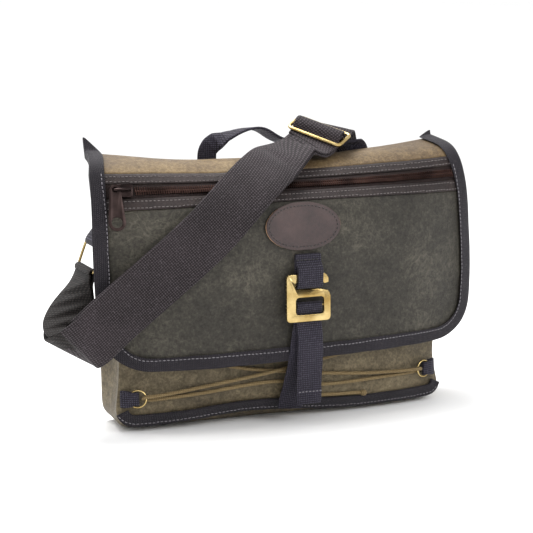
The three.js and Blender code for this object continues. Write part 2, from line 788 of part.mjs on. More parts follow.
function hookBuckle() {
  const plate = new THREE.Shape();
  const midTop = slotTopZ + hookMidPlate;
  const armFoot = hookTopZ - hookArm;
  const round = 4;
  plate.moveTo(hookLeft + round, hookFootZ);
  plate.lineTo(hookRight - round, hookFootZ);
  plate.quadraticCurveTo(hookRight, hookFootZ, hookRight, hookFootZ + round);
  plate.lineTo(hookRight, slotTopZ);
  plate.quadraticCurveTo(hookRight - 1, midTop - 1, hookRight - round - 2, midTop - 1.5);
  plate.lineTo(hookRight - 3 * round, midTop);
  plate.lineTo(slotLeft, midTop);
  plate.lineTo(slotLeft, armFoot);
  plate.lineTo(hookRight - 2 * round, armFoot);
  plate.lineTo(hookRight - 1.5 * round, armFoot - 2);
  plate.lineTo(hookRight - 0.5 * round, armFoot - 1);
  plate.lineTo(hookRight - 0.5 * round, armFoot + 3);
  plate.quadraticCurveTo(hookRight - round, hookTopZ, hookRight - 2 * round, hookTopZ);
  plate.lineTo(hookLeft + round, hookTopZ);
  plate.quadraticCurveTo(hookLeft, hookTopZ, hookLeft, hookTopZ - round);
  plate.lineTo(hookLeft, hookFootZ + round);
  plate.quadraticCurveTo(hookLeft, hookFootZ, hookLeft + round, hookFootZ);
  const slot = roundedRectangle(hookSlotWidth, hookSlotHeight, 3, 2).map((p) =>
    p.add(new THREE.Vector2(slotX, barZ)),
  );
  plate.holes.push(new THREE.Path(slot));
  const flat = new THREE.ExtrudeGeometry(plate, { depth: hookPlate, bevelEnabled: false, curveSegments: 3 });
  flat.translate(0, 0, -hookPlate / 2).rotateX(Math.PI / 2);
  const bar = new THREE.CylinderGeometry(hookBar / 2, hookBar / 2, hookSlotWidth + 5, 8);
  bar.rotateZ(Math.PI / 2).translate(slotX, barBehind, barZ);
  const mesh = addMesh("hook_buckle", geometryOf(solidOf(flat).add(solidOf(bar))), "brass");
  mesh.position.y = hookY;
}
hookBuckle();

// The strap rises from the lower seam, goes over the hook's bar and hangs down again in front of itself
const tailLength = 78;

function closureStrap() {
  const half = closureWebbing / 2;
  const across = vec(1, 0, 0);
  const row = (x, y, z) => ({ at: vec(x, y, z), wide: across });
  const bendRadius = hookBar / 2 + fit + half;
  const barY = hookY + barBehind;
  const footX = closureX - 11;
  const seamY = front(footX, bindingWidth).y - bodyBindingOut - bodyBindingLift - half - 2 * fit;
  const flapFoot = flap(closureX - 6, flapLength, bindingOut + tape + fit + half);
  const behindPlate = hookY + hookPlate / 2 + fit + half;
  const overBar = steps(0, 180, 6).map((angle) =>
    row(slotX, barY + bendRadius * Math.cos(rad(angle)), barZ + bendRadius * Math.sin(rad(angle))),
  );
  const lower = hookFootZ + hookFootBar / 2;
  const tail = [0.1, 0.3, 0.55, 0.8, 1].map((share) =>
    row(
      slotX - 2 * share,
      hookY - (3.5 - 2 * share) * Math.min(1, share * 3),
      lower - 4 - share * tailLength,
    ),
  );
  const rows = [
    row(footX, seamY, seamZ(footX) + 1),
    row(footX + 1, seamY - 1.5, seamZ(footX) + bindingWidth),
    row(closureX - 6, flapFoot.y, flapFoot.z - 2),
    row(closureX - 5, flapFoot.y, flapFoot.z + bindingWidth + 3),
    row(closureX - 1, behindPlate + closureWebbing + fit, lower - 8),
    row(slotX, behindPlate + closureWebbing + fit, lower),
    ...overBar,
    row(slotX, behindPlate, slotFootZ + 1.5),
    row(slotX, behindPlate, lower - 3.5),
    ...tail,
  ];
  ribbon("closure_strap", rows, closureWidth, closureWebbing, "closureWebbing");
}
closureStrap();

// The zip's slider sits at the left end of the teeth. Its bail carries the long pull tab.

function frameAt(surface, x, s, out) {
  const origin = surface(x, s, out);
  const normal = surface(x, s, out + 1).sub(origin);
  const right = surface(x + 1, s, out).sub(surface(x - 1, s, out)).normalize();
  return { origin, normal, right, up: normal.clone().cross(right) };
}

function placed(geometry, { origin, normal, right, up }) {
  return geometry.applyMatrix4(new THREE.Matrix4().makeBasis(right, up, normal).setPosition(origin));
}

// A round wire along an open path in the XZ plane
function wirePath(points, wire, sides) {
  const last = points.length - 1;
  const rings = points.map((p, i) => {
    const ahead = points[Math.min(i + 1, last)].clone().sub(points[Math.max(i - 1, 0)]).normalize();
    const level = vec(0, 1, 0);
    const square = ahead.clone().cross(level);
    return steps(0, 360, sides).slice(0, -1).map((angle) =>
      p
        .clone()
        .addScaledVector(square, (wire / 2) * Math.sin(rad(angle)))
        .addScaledVector(level, (wire / 2) * Math.cos(rad(angle))),
    );
  });
  return closedRings(rings);
}

const sliderFrame = frameAt(flap, sliderX, zipMiddle, chainLow + fit);
const bailLegX = -sliderLength / 2 + bailWire / 2 + 0.3;
const crownZ = sliderHeight + 2 * pullClearance + pullThickness + bailWire / 2;

function zipSlider() {
  const half = sliderLength / 2;
  const body = new THREE.Shape([
    new THREE.Vector2(-half, -sliderWidth * 0.28),
    new THREE.Vector2(-half * 0.6, -sliderWidth * 0.42),
    new THREE.Vector2(half * 0.7, -sliderWidth / 2),
    new THREE.Vector2(half, -sliderWidth * 0.4),
    new THREE.Vector2(half, sliderWidth * 0.4),
    new THREE.Vector2(half * 0.7, sliderWidth / 2),
    new THREE.Vector2(-half * 0.6, sliderWidth * 0.42),
    new THREE.Vector2(-half, sliderWidth * 0.28),
  ]);
  const block = new THREE.ExtrudeGeometry(body, { depth: sliderHeight, bevelEnabled: false });
  const inBody = sliderHeight - 1.5;
  const bail = wirePath(
    [
      vec(bailLegX, 0, inBody),
      vec(bailLegX, 0, crownZ - 0.6),
      vec(bailLegX + 1.6, 0, crownZ),
      vec(1, 0, crownZ),
      vec(half * 0.55, 0, crownZ - 1),
      vec(half * 0.75, 0, inBody),
    ],
    bailWire,
    8,
  );
  addMesh("zip_slider", placed(geometryOf(solidOf(block).add(solidOf(bail))), sliderFrame), "zipMetal");
}
zipSlider();

// The pull hangs straight down in its own plane, which is parallel to the slider's top
const pullPivot = sliderFrame.origin
  .clone()
  .addScaledVector(sliderFrame.right, bailLegX)
  .addScaledVector(sliderFrame.normal, sliderHeight + pullClearance);

function zipPull() {
  const neck = pullTopWidth / 2;
  const foot = pullFootWidth / 2;
  const footY = -(pullLength - neck - foot);
  const tab = new THREE.Shape();
  tab.absarc(0, 0, neck, 0, Math.PI, false);
  tab.lineTo(-foot, footY);
  tab.absarc(0, footY, foot, Math.PI, 2 * Math.PI, false);
  tab.closePath();
  const hole = (y, size) => new THREE.Path().absarc(0, y, size / 2, 0, 2 * Math.PI, true);
  tab.holes.push(hole(0, pullHole), hole(footY, fingerHole));
  const plate = new THREE.ExtrudeGeometry(tab, { depth: pullThickness, bevelEnabled: false, curveSegments: 8 });
  const up = vec(0, 0, 1).addScaledVector(sliderFrame.normal, -sliderFrame.normal.z).normalize();
  const right = up.clone().cross(sliderFrame.normal);
  addMesh("zip_pull", placed(plate, { origin: pullPivot, normal: sliderFrame.normal, right, up }), "zipMetal");
}
zipPull();

// On each side a webbing tab comes out of the gusset and carries a brass ring for the shoulder strap

const ringTabRise = 0.84;
const ringLean = 0.38;
const ringBehindEdge = 3;
const ringBehindMiddle = strapRingInner / 2 + strapRingWire + ringBehindEdge - sideDepth / 2;

function ringBar(side) {
  const foot = ringTabRise * frontTop - ringTabLength;
  const reach = (t, s) => side * gussetPoint({ side, s, down: 0 }, t).x;
  const widest = Math.max(...steps(0, 1, 10).flatMap((t) => [reach(t, foot), reach(t, ringTabRise * frontTop)]));
  const root = vec(side * (widest + fit + ringTabWebbing / 2), ringBehindMiddle, ringTabRise * frontTop);
  const bend = strapRingWire / 2 + fit + ringTabWebbing / 2;
  return { root, bend, bar: vec(root.x + side * (ringStandoff + bend), root.y, root.z - ringTabLength) };
}

function ringTab(side, name) {
  const { root, bend, bar } = ringBar(side);
  const wide = vec(0, side, 0);
  const row = (x, z) => ({ at: vec(x, root.y, z), wide });
  const rows = [
    row(root.x, root.z),
    row(root.x, root.z - ringTabLength / 4),
    row(bar.x - side * bend, bar.z + 3),
    ...steps(180, 360, 6).map((angle) =>
      row(bar.x + side * bend * Math.cos(rad(angle)), bar.z + bend * Math.sin(rad(angle))),
    ),
    row(bar.x + side * bend, bar.z + 3),
    row(root.x + side * (ringTabWebbing + 2 * fit), root.z - ringTabLength / 4),
    row(root.x + side * (ringTabWebbing + fit), root.z),
  ];
  ribbon(name, rows, ringTabWidth, ringTabWebbing, "strapWebbing");
}

// The ring hangs from its upper bar and leans outwards, as the strap pulls it
function strapRing(side, name) {
  const { bar } = ringBar(side);
  const right = vec(0, -side, 0);
  const up = vec(-side * ringLean, 0, 1).normalize();
  const middle = bar.clone().addScaledVector(up, -strapRingHeight / 2);
  const outline = roundedRectangle(strapRingInner + strapRingWire, strapRingHeight, 2.8, 2);
  addMesh(name, wireLoop(outline, strapRingWire, 8, middle, right, up), "brass");
  return bar.clone().addScaledVector(up, -strapRingHeight);
}

ringTab(-1, "ring_tab_left");
ringTab(1, "ring_tab_right");
const leftBar = strapRing(-1, "strap_ring_left");
const rightBar = strapRing(1, "strap_ring_right");

// Four small tabs with brass rings hold the lacing. The upper two lie under the flap.

const laceRings = [
  { name: "left_low", side: -1, rise: 0.12 },
  { name: "right_low", side: 1, rise: 0.13 },
  { name: "left_high", side: -1, rise: 0.44 },
  { name: "right_high", side: 1, rise: 0.44 },
];
const laceRadius = (laceRingOuter - laceRingWire) / 2;
const laceRingOut = 2 * fit + cordDiameter + laceRingWire / 2 + 0.8;
const laceReach = laceRingOuter / 2 + 9;

function laceRingPlace({ side, rise }) {
  const s = rise * frontTop;
  const edge = side < 0 ? frontLeft(s) : frontRight(s);
  return { s, edge, x: edge - side * laceReach };
}

function laceTab(entry) {
  const { side } = entry;
  const { s, edge, x } = laceRingPlace(entry);
  const half = laceTabWebbing / 2;
  const bend = laceRingWire / 2 + fit + half;
  const frame = frameAt(front, x, s, laceRingOut);
  const foldX = -1.2;
  const outward = frame.right.clone().multiplyScalar(side);
  const wide = frame.up.clone().multiplyScalar(side);
  const nearRing = (along, out, width) => ({
    at: frame.origin.clone().addScaledVector(outward, along).addScaledVector(frame.normal, out),
    wide,
    width,
  });
  const onPanel = (out) => ({ at: front(edge - side * 3, s, out + 1.6), wide, width: laceTabWidth });
  const rows = [
    onPanel(fit + half),
    nearRing(laceRadius + 3, -bend, laceTabWidth),
    nearRing(-foldX + bend, -bend, laceTabFold),
    ...steps(0, 180, 4).map((angle) =>
      nearRing(-foldX - bend * Math.sin(rad(angle)), -bend * Math.cos(rad(angle)), laceTabFold),
    ),
    nearRing(-foldX + bend, bend, laceTabFold),
    nearRing(laceRadius + 3, bend, laceTabWidth),
    onPanel(2 * fit + 3 * half),
  ];
  ribbon("lace_tab_" + entry.name, rows, laceTabWidth, laceTabWebbing, "closureWebbing");
}

function laceRing(entry) {
  const { s, x } = laceRingPlace(entry);
  const ring = new THREE.TorusGeometry(laceRadius, laceRingWire / 2, 6, 16);
  addMesh("lace_ring_" + entry.name, placed(ring, frameAt(front, x, s, laceRingOut)), "brass");
}
laceRings.forEach(laceTab);
laceRings.forEach(laceRing);

// The lacing: one cord from the upper left ring, by the lower right and lower left rings, to the upper right.
// across is a share of half the body's width, up a share of the front panel's height, high the number of
// cord thicknesses that the cord lies above the cloth.

const laceRoute = [
  { ring: "left_high", through: true },
  { across: -0.57, up: 0.27, high: 0.3 },
  { across: -0.32, up: 0.2, high: 0.3 },
  { across: -0.1, up: 0.175, high: 0.3 },
  { across: 0.12, up: 0.165, high: 0.3 },
  { across: 0.42, up: 0.15, high: 0.35 },
  { ring: "right_low", turn: 1 },
  { across: 0.42, up: 0.122, high: 0.35 },
  { across: 0.12, up: 0.11, high: 0.3 },
  { across: -0.12, up: 0.135, high: 0.3 },
  { across: -0.5, up: 0.115, high: 0.35 },
  { ring: "left_low", turn: -1 },
  { across: -0.5, up: 0.145, high: 0.35 },
  { across: -0.16, up: 0.178, high: 1.6 },
  { across: 0.06, up: 0.215, high: 0.5 },
  { across: 0.38, up: 0.27, high: 1 },
  { ring: "right_high", through: true },
];

// A point from the middle of a lacing ring: towards the bag's middle, up, and forward of the ring
function nearLaceRing(entry) {
  const { s, x } = laceRingPlace(entry);
  const { origin, right, up, normal } = frameAt(front, x, s, laceRingOut);
  return (inward, rise, out) =>
    origin
      .clone()
      .addScaledVector(right, -entry.side * inward)
      .addScaledVector(up, rise)
      .addScaledVector(normal, out);
}

// Where the cord turns through a ring: over its wire, into the hole and back under the wire
function laceTurn(entry, down) {
  const at = nearLaceRing(entry);
  const bend = laceRingWire / 2 + fit + cordDiameter / 2 + 0.25;
  const round = [90, 40, 0, -40, -90].map((angle) =>
    at(laceRadius - bend * Math.cos(rad(angle)), (down * angle) / 90, bend * Math.sin(rad(angle))),
  );
  return [at(laceRadius + 9, down, bend * 0.6), ...round, at(laceRadius + 9, -down, -bend)];
}

function laceCord() {
  const points = laceRoute.flatMap((stop) => {
    if (!stop.ring) {
      const x = (stop.across * bodyWidth) / 2;
      return [front(x, stop.up * frontTop, fit + cordDiameter * (stop.high + 0.5))];
    }
    const entry = laceRings.find(({ name }) => name === stop.ring);
    if (stop.turn) {
      const turn = laceTurn(entry, 1.8);
      return stop.turn > 0 ? turn : turn.reverse();
    }
    const at = nearLaceRing(entry);
    const pass = laceRingWire / 2 + fit + cordDiameter / 2 + 0.15;
    const end = [at(2.2, 0, 0), at(5.4, -1, pass * 0.8), at(laceRadius + 0.6, -2.4, pass), at(laceRadius + 9, -6, -1)];
    return entry.side < 0 ? end : end.reverse();
  });
  const path = new THREE.CatmullRomCurve3(points, false, "centripetal");
  addMesh("lace_cord", roundCord(path, cordDiameter, 2 * (points.length - 1)), "cord");
}

function roundCord(path, diameter, count) {
  const round = new THREE.Shape().absarc(0, 0, diameter / 2, 0, 2 * Math.PI);
  path.getUtoTmapping = (share) => share;
  return new THREE.ExtrudeGeometry(round, { steps: count, curveSegments: 4, extrudePath: path });
}
laceCord();

// A short cord lies along the lower seam, from behind the strap to a knot
const knotSize = 7;

function bottomCord() {
  const at = (across, out) => {
    const x = (across * bodyWidth) / 2;
    return front(x, bindingWidth + 1 + cordDiameter / 2, fit + cordDiameter / 2 + out);
  };
  const path = new THREE.CatmullRomCurve3([at(-0.02, 0), at(0.1, 0), at(0.25, 0), at(0.36, 0), at(0.4, 1)]);
  const cord = solidOf(roundCord(path, cordDiameter, 10));
  const knot = new THREE.SphereGeometry(knotSize / 2, 8, 6);
  const end = at(0.41, knotSize / 2 - cordDiameter / 2);
  knot.scale(1.1, 1, 0.9).translate(end.x, end.y, end.z);
  addMesh("bottom_cord", geometryOf(cord.add(solidOf(knot))), "cord");
}
bottomCord();

// The carry handle is sewn behind the back seam, stands up, twists and lies flat across its top.
// along: share of the handle's span. rise: share of its rise. forward: millimetre-free share of the side depth.
// twist: degrees from facing the front to facing up.

const handleLeft = -60;
const handleRight = 101;
const handleRows = [
  { along: 0, rise: -0.42, forward: 0, twist: 0 },
  { along: 0, rise: 0, forward: 0, twist: 0 },
  { along: 0.01, rise: 0.4, forward: 0.02, twist: 5 },
  { along: 0.13, rise: 0.78, forward: 0.08, twist: 50 },
  { along: 0.32, rise: 0.95, forward: 0.03, twist: 75 },
  { along: 0.45, rise: 0.54, forward: 0, twist: 70 },
  { along: 0.6, rise: 0.36, forward: 0.1, twist: 75 },
  { along: 0.84, rise: 0.32, forward: 0.08, twist: 60 },
  { along: 0.96, rise: 0.22, forward: 0.02, twist: 20 },
  { along: 1, rise: -0.02, forward: 0, twist: 0 },
  { along: 1, rise: -0.42, forward: 0, twist: 0 },
];

function carryHandle() {
  const seatY = backY + bindingGap + handleWebbing / 2 + 1;
  const rows = handleRows.map(({ along, rise, forward, twist }) => {
    const x = mix(handleLeft, handleRight, along);
    const seat = mix(flap(handleLeft, 0).z, flap(handleRight, 0).z, along);
    const turn = rad(twist);
    return {
      at: vec(x, seatY - forward * sideDepth, seat + rise * handleRise),
      wide: vec(Math.cos(turn), -Math.sin(turn), 0.12 * Math.sin(turn)),
    };
  });
  ribbon("carry_handle", smoothRows(rows, 28), handleWidth, handleWebbing, "closureWebbing");
}
carryHandle();

// The shoulder strap. It is doubled from the left ring to the slide, and single from there over the top and
// down the back to the right ring. at: shares of the strap's width from the named anchor. wide: its width's direction.

const hangingRows = [
  { x: -0.08, y: 0, z: -0.24, wideX: 0, wideY: -1, wideZ: 0 },
  { x: -0.32, y: -0.16, z: -0.64, wideX: 0.45, wideY: -0.88, wideZ: -0.1 },
  { x: -0.46, y: -0.5, z: -1, wideX: 0.72, wideY: -0.62, wideZ: -0.3 },
  { x: -0.46, y: -0.92, z: -1.24, wideX: 0.76, wideY: -0.3, wideZ: -0.56 },
  { x: -0.3, y: -1.24, z: -1.1, wideX: 0.68, wideY: -0.06, wideZ: -0.74 },
  { x: 0.08, y: -1.28, z: -0.76, wideX: 0.64, wideY: -0.05, wideZ: -0.77 },
];

// The row of the fold, where the two layers lie looser
const foldRow = 3;

// Where the strap crosses the flap. across: share of half its width. along: share of its length. high: clearances.
const crossingRows = [
  { across: -0.68, along: 0.62, high: 1.2 },
  { across: -0.46, along: 0.475, high: 1.3 },
  { across: -0.23, along: 0.325, high: 1.7 },
  { across: -0.08, along: 0.23, high: 1.6 },
  { across: 0.07, along: 0.15, high: 1.6 },
];

// From the slide over the top and down the back: shares of the strap's width from the slide's middle
const backRows = [
  { x: 0.34, y: 0.36, z: 0.06, wideX: 0.68, wideY: -0.66, wideZ: -0.2 },
  { x: 0.52, y: 0.68, z: -0.12, wideX: 0.8, wideY: -0.45, wideZ: 0.1 },
  { x: 0.72, y: 0.84, z: -0.58, wideX: 0.82, wideY: -0.1, wideZ: 0.45 },
  { x: 1.1, y: 0.76, z: -1.5, wideX: 0.8, wideY: 0, wideZ: 0.55 },
  { x: 1.75, y: 0.74, z: -2.6, wideX: 0.8, wideY: 0, wideZ: 0.5 },
];

// Up to the right ring: shares of the strap's width from the ring's lower bar
const returnRows = [
  { x: -0.45, y: 0.86, z: -0.94, wideX: 0.65, wideY: 0.25, wideZ: 0.6 },
  { x: 0.02, y: 0.7, z: -1.06, wideX: 0.25, wideY: 0.85, wideZ: 0.35 },
  { x: 0.04, y: 0.3, z: -0.8, wideX: 0.1, wideY: 0.98, wideZ: 0.12 },
  { x: -0.03, y: 0, z: -0.28, wideX: 0, wideY: 1, wideZ: 0 },
];

const fromAnchor = (anchor, { x, y, z, wideX, wideY, wideZ }) => ({
  at: anchor.clone().add(vec(x, y, z).multiplyScalar(strapWidth)),
  wide: vec(wideX, wideY, wideZ),
});

// The slide: a rectangular wire frame with a bar across its middle
const slideBar = vec(0.64, -0.7, -0.3).normalize();
const slideRun = vec(0.6, 0.72, 0.42);
slideRun.addScaledVector(slideBar, -slideRun.dot(slideBar)).normalize();
const slideFace = slideBar.clone().cross(slideRun);
const slideMiddle = flap(47, sideDepth * 0.42).add(vec(0, 0, 24));
const slideBarReach = (slideHeight - slideWire) / 2;

function strapSlide() {
  const frame = wireLoop(
    roundedRectangle(slideInner + slideWire, slideHeight - slideWire, 3.2, 3),
    slideWire,
    8,
    slideMiddle,
    slideBar,
    slideRun,
  );
  const round = (u) =>
    steps(0, 360, 8).slice(0, -1).map((angle) =>
      slideMiddle
        .clone()
        .addScaledVector(slideBar, u)
        .addScaledVector(slideRun, (slideWire / 2) * Math.cos(rad(angle)))
        .addScaledVector(slideFace, (slideWire / 2) * Math.sin(rad(angle))),
    );
  const reach = (slideInner + slideWire) / 2;
  const bar = closedRings([round(-reach), round(reach)]);
  addMesh("strap_slide", geometryOf(solidOf(frame).add(solidOf(bar))), "brass");
}
strapSlide();

function shoulderStrap() {
  const flapHalf = flapWidth / 2;
  const crossing = crossingRows.map(({ across, along, high }) => {
    const place = [across * flapHalf, along * flapLength];
    return { at: flap(...place, strapClearance * high), face: flap(...place, 1).sub(flap(...place)) };
  });
  const run = crossing[crossing.length - 1].at.clone().sub(crossing[0].at);
  crossing.forEach((row) => (row.wide = run.clone().cross(row.face).normalize()));
  const half = (strapWebbing + strapLayerGap) / 2;
  const atSlide = (along, high, wide = slideBar) => ({
    at: slideMiddle.clone().addScaledVector(slideRun, along).addScaledVector(slideFace, high),
    wide,
  });
  const underBar = slideWire / 2 + fit + strapWebbing / 2;
  const doubled = [
    ...hangingRows.map((row) => fromAnchor(leftBar, row)),
    ...crossing,
    atSlide(-slideBarReach - 10, -underBar - half - 0.5),
    atSlide(-slideBarReach + 1, -underBar - half),
  ];
  const middle = smoothRows(doubled, 2 * (doubled.length - 1));
  const tip = middle.length - 1;
  const layer = (side) =>
    middle.map(({ at, wide }, i) => {
      const forward = middle[Math.min(i + 1, tip)].at.clone().sub(middle[Math.max(i - 1, 0)].at);
      const inward = forward.cross(wide).normalize();
      const looser = 1.7 * strapWebbing * Math.exp(-((i / 2 - foldRow) ** 2) / 3);
      return { at: at.clone().addScaledVector(inward, -side * (half + looser)), wide };
    });
  const ringBend = strapRingWire / 2 + fit + 0.3 + strapWebbing / 2;
  const level = vec(0, -1, 0);
  const roundRing = (bar, from, to, wide) =>
    steps(from, to, 10).map((angle) => ({
      at: bar.clone().add(vec(ringBend * Math.cos(rad(angle)), 0, ringBend * Math.sin(rad(angle)))),
      wide,
    }));
  const slideLoop = steps(170, -100, 8).map((angle) =>
    atSlide(underBar * Math.cos(rad(angle)), underBar * Math.sin(rad(angle))),
  );
  const inner = layer(-1).reverse();
  const outer = layer(1);
  const overBar = underBar + strapWebbing + strapLayerGap;
  const threaded = [
    atSlide(-slideBarReach * 0.62, -0.3),
    atSlide(-slideBarReach * 0.4, overBar * 0.78),
    atSlide(0, overBar + 0.3),
    atSlide(slideBarReach * 0.4, overBar * 0.78),
    atSlide(slideBarReach * 0.6, -0.3),
    atSlide(slideBarReach + 0.5, -underBar - 0.9),
    atSlide(slideBarReach + 5, -underBar - 2.4),
  ];
  const single = [
    ...threaded,
    ...backRows.map((row) => fromAnchor(slideMiddle, row)),
    ...returnRows.map((row) => fromAnchor(rightBar, row)),
  ];
  const toRight = smoothRows(single, 3 * (single.length - 1));
  const end = toRight[toRight.length - 1];
  const lastRun = end.at.clone().sub(toRight[toRight.length - 2].at);
  const inward = lastRun.clone().cross(end.wide).normalize();
  const ending = toRight.slice(-4).map(({ at, wide }) => ({ at: at.clone().addScaledVector(inward, -2 * half), wide }));
  const turns = [slideLoop, inner, roundRing(leftBar, 225, -45, level), outer];
  turns.push(toRight.slice(0, 13), toRight.slice(13));
  turns.push(roundRing(rightBar, 225, -45, level.clone().negate()), ending.reverse());
  const rings = ribbonRings(turns.flat(), strapWidth, strapWebbing);
  let strap = null;
  let first = 0;
  for (const turn of turns) {
    const last = Math.min(first + turn.length, rings.length - 1);
    const stretch = solidOf(closedRings(rings.slice(first, last + 1)));
    strap = strap ? strap.add(stretch) : stretch;
    first = last;
  }
  addMesh("shoulder_strap", geometryOf(strap), "strapWebbing");
}
shoulderStrap();

export default bag;
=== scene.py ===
# %% [markdown]
# Start: the imported model is the frame that every visual piece is built on, so it is loaded first.

# %% Load the frame
import math

import bmesh
import bpy
from mathutils import Matrix, Vector, noise
from mathutils.bvhtree import BVHTree


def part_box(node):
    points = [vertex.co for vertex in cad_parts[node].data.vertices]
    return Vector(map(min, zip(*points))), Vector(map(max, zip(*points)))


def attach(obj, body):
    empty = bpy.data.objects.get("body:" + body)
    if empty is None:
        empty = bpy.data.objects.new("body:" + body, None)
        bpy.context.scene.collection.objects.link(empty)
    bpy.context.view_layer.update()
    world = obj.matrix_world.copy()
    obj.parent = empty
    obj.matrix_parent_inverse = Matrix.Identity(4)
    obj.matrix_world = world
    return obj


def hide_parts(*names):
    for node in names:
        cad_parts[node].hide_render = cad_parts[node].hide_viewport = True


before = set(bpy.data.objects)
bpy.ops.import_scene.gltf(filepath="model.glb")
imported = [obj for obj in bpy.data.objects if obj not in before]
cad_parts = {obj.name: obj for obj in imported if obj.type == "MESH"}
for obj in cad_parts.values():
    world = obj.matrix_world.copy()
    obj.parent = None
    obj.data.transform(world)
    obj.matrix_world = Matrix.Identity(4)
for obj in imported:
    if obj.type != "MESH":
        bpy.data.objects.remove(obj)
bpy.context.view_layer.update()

# %% [markdown]
# Camera, floor and light: the photograph looks from 21.5 degrees left of the front and 9.5 degrees above, at
# 1.6 m, in a white studio. A pale floor that reaches far back and large soft lights give the same even,
# nearly shadowless picture, with a soft contact shadow only.

# %% Camera, floor and lights
target = Vector((-0.011, 0.0, 0.142))
azimuth, elevation, distance = math.radians(-21.5), math.radians(9.5), 1.6
toward = Vector(
    (
        math.sin(azimuth) * math.cos(elevation),
        -math.cos(azimuth) * math.cos(elevation),
        math.sin(elevation),
    )
)
camera_data = bpy.data.cameras.new("camera")
camera = bpy.data.objects.new("camera", camera_data)
bpy.context.collection.objects.link(camera)
camera.matrix_world = (
    Matrix.Translation(target + toward * distance)
    @ toward.to_track_quat("Z", "Y").to_matrix().to_4x4()
    @ Matrix.Rotation(math.radians(-0.6), 4, "Z")
)
camera_data.sensor_width = 36
camera_data.lens = 36 * 1658 / 533
camera_data.clip_end = 20
bpy.context.scene.camera = camera


def plain_material(name, color, roughness):
    made = bpy.data.materials.new(name)
    made.use_nodes = True
    shader = made.node_tree.nodes["Principled BSDF"]
    shader.inputs["Base Color"].default_value = (*color, 1)
    shader.inputs["Roughness"].default_value = roughness
    return made


def area_light(name, place, aim, size, watts):
    data = bpy.data.lights.new(name, "AREA")
    data.shape = "RECTANGLE"
    data.size, data.size_y = size
    data.energy = watts
    light = bpy.data.objects.new(name, data)
    bpy.context.collection.objects.link(light)
    away = Vector(place) - Vector(aim)
    light.matrix_world = Matrix.Translation(Vector(place)) @ away.to_track_quat("Z", "Y").to_matrix().to_4x4()
    return light


bm = bmesh.new()
sweep_start, sweep_radius, wall_top = 2.0, 2.5, 6.0
profile = [(-6.0, 0.0), (sweep_start, 0.0)]
for turn in range(6, 91, 6):
    angle = math.radians(turn)
    profile.append((sweep_start + sweep_radius * math.sin(angle), sweep_radius - sweep_radius * math.cos(angle)))
profile.append((sweep_start + sweep_radius, wall_top))
strip = [(bm.verts.new((-7, y, z)), bm.verts.new((7, y, z))) for y, z in profile]
for (a, b), (c, d) in zip(strip, strip[1:]):
    bm.faces.new((a, b, d, c))
floor_mesh = bpy.data.meshes.new("floor")
bm.to_mesh(floor_mesh)
bm.free()
floor_mesh.shade_smooth()
floor = bpy.data.objects.new("floor", floor_mesh)
bpy.context.collection.objects.link(floor)
floor_mesh.materials.append(plain_material("studio_floor", (0.96, 0.96, 0.96), 1.0))

world = bpy.data.worlds.new("studio")
bpy.context.scene.world = world
world.use_nodes = True
world.node_tree.nodes["Background"].inputs["Color"].default_value = (1, 1, 1, 1)
world.node_tree.nodes["Background"].inputs["Strength"].default_value = 1.0
area_light("top_light", (-0.3, 0.35, 1.4), (0, 0, 0.15), (1.2, 0.8), 30)
area_light("front_light", (0.9, -1.7, 1.1), (0, 0, 0.15), (0.7, 0.7), 12)
bpy.context.scene.view_settings.view_transform = "Standard"
print("camera at", [round(v, 3) for v in camera.location], "lens", round(camera_data.lens, 1))

# %% [markdown]
# Shared shader effects: a plain weave of crossed threads, and a soft uneven mottling. Both read Object
# coordinates in metres, so thread size is the real one wherever they are used. Each is a node group, used by
# every canvas material.

# %% Node helpers and shared groups


def nodes_of(tree):
    """Short calls that add a node, or a maths node, to a tree, and link what is handed in."""

    def add(kind, values=None, **settings):
        made = tree.nodes.new(kind)
        for key, value in settings.items():
            setattr(made, key, value)
        for key, value in (values or {}).items():
            if hasattr(value, "is_output"):
                tree.links.new(value, made.inputs[key])
            else:
                made.inputs[key].default_value = value
        return made.outputs[0]

    def maths(kind, *values):
        return add("ShaderNodeMath", dict(enumerate(values)), operation=kind)

    return add, maths


def new_group(name, inputs, outputs):
    tree = bpy.data.node_groups.new(name, "ShaderNodeTree")
    for label, kind, value in inputs:
        socket = tree.interface.new_socket(label, in_out="INPUT", socket_type=kind)
        if value is not None:
            socket.default_value = value
    for label, kind in outputs:
        tree.interface.new_socket(label, in_out="OUTPUT", socket_type=kind)
    return tree, tree.nodes.new("NodeGroupInput"), tree.nodes.new("NodeGroupOutput")


def use_group(tree, group, values):
    made = tree.nodes.new("ShaderNodeGroup")
    made.node_tree = group
    for key, value in values.items():
        if hasattr(value, "is_output"):
            tree.links.new(value, made.inputs[key])
        else:
            made.inputs[key].default_value = value
    return made


weave, g_in, g_out = new_group(
    "plain_weave",
    [("Vector", "NodeSocketVector", None), ("Pitch", "NodeSocketFloat", 0.001)],
    [("Height", "NodeSocketFloat"), ("Shade", "NodeSocketFloat")],
)
add, maths = nodes_of(weave)
scaled = add("ShaderNodeVectorMath", {0: g_in.outputs[0]}, operation="SCALE")
weave.links.new(maths("DIVIDE", math.tau, g_in.outputs[1]), scaled.node.inputs["Scale"])
split = add("ShaderNodeSeparateXYZ", {0: scaled}).node
across = maths("SINE", split.outputs[0])
upright = maths("SINE", split.outputs[2])
crossed = maths("MULTIPLY", across, upright)
ribs = maths("MAXIMUM", maths("ABSOLUTE", across), maths("ABSOLUTE", upright))
fuzz = add("ShaderNodeTexNoise", {"Vector": g_in.outputs[0], "Scale": 900.0, "Detail": 3.0})
height = maths("ADD", maths("MULTIPLY", crossed, 0.5), maths("MULTIPLY", fuzz, 0.7))
weave.links.new(height, g_out.inputs[0])
weave.links.new(maths("MULTIPLY_ADD", ribs, 0.35, 0.65), g_out.inputs[1])

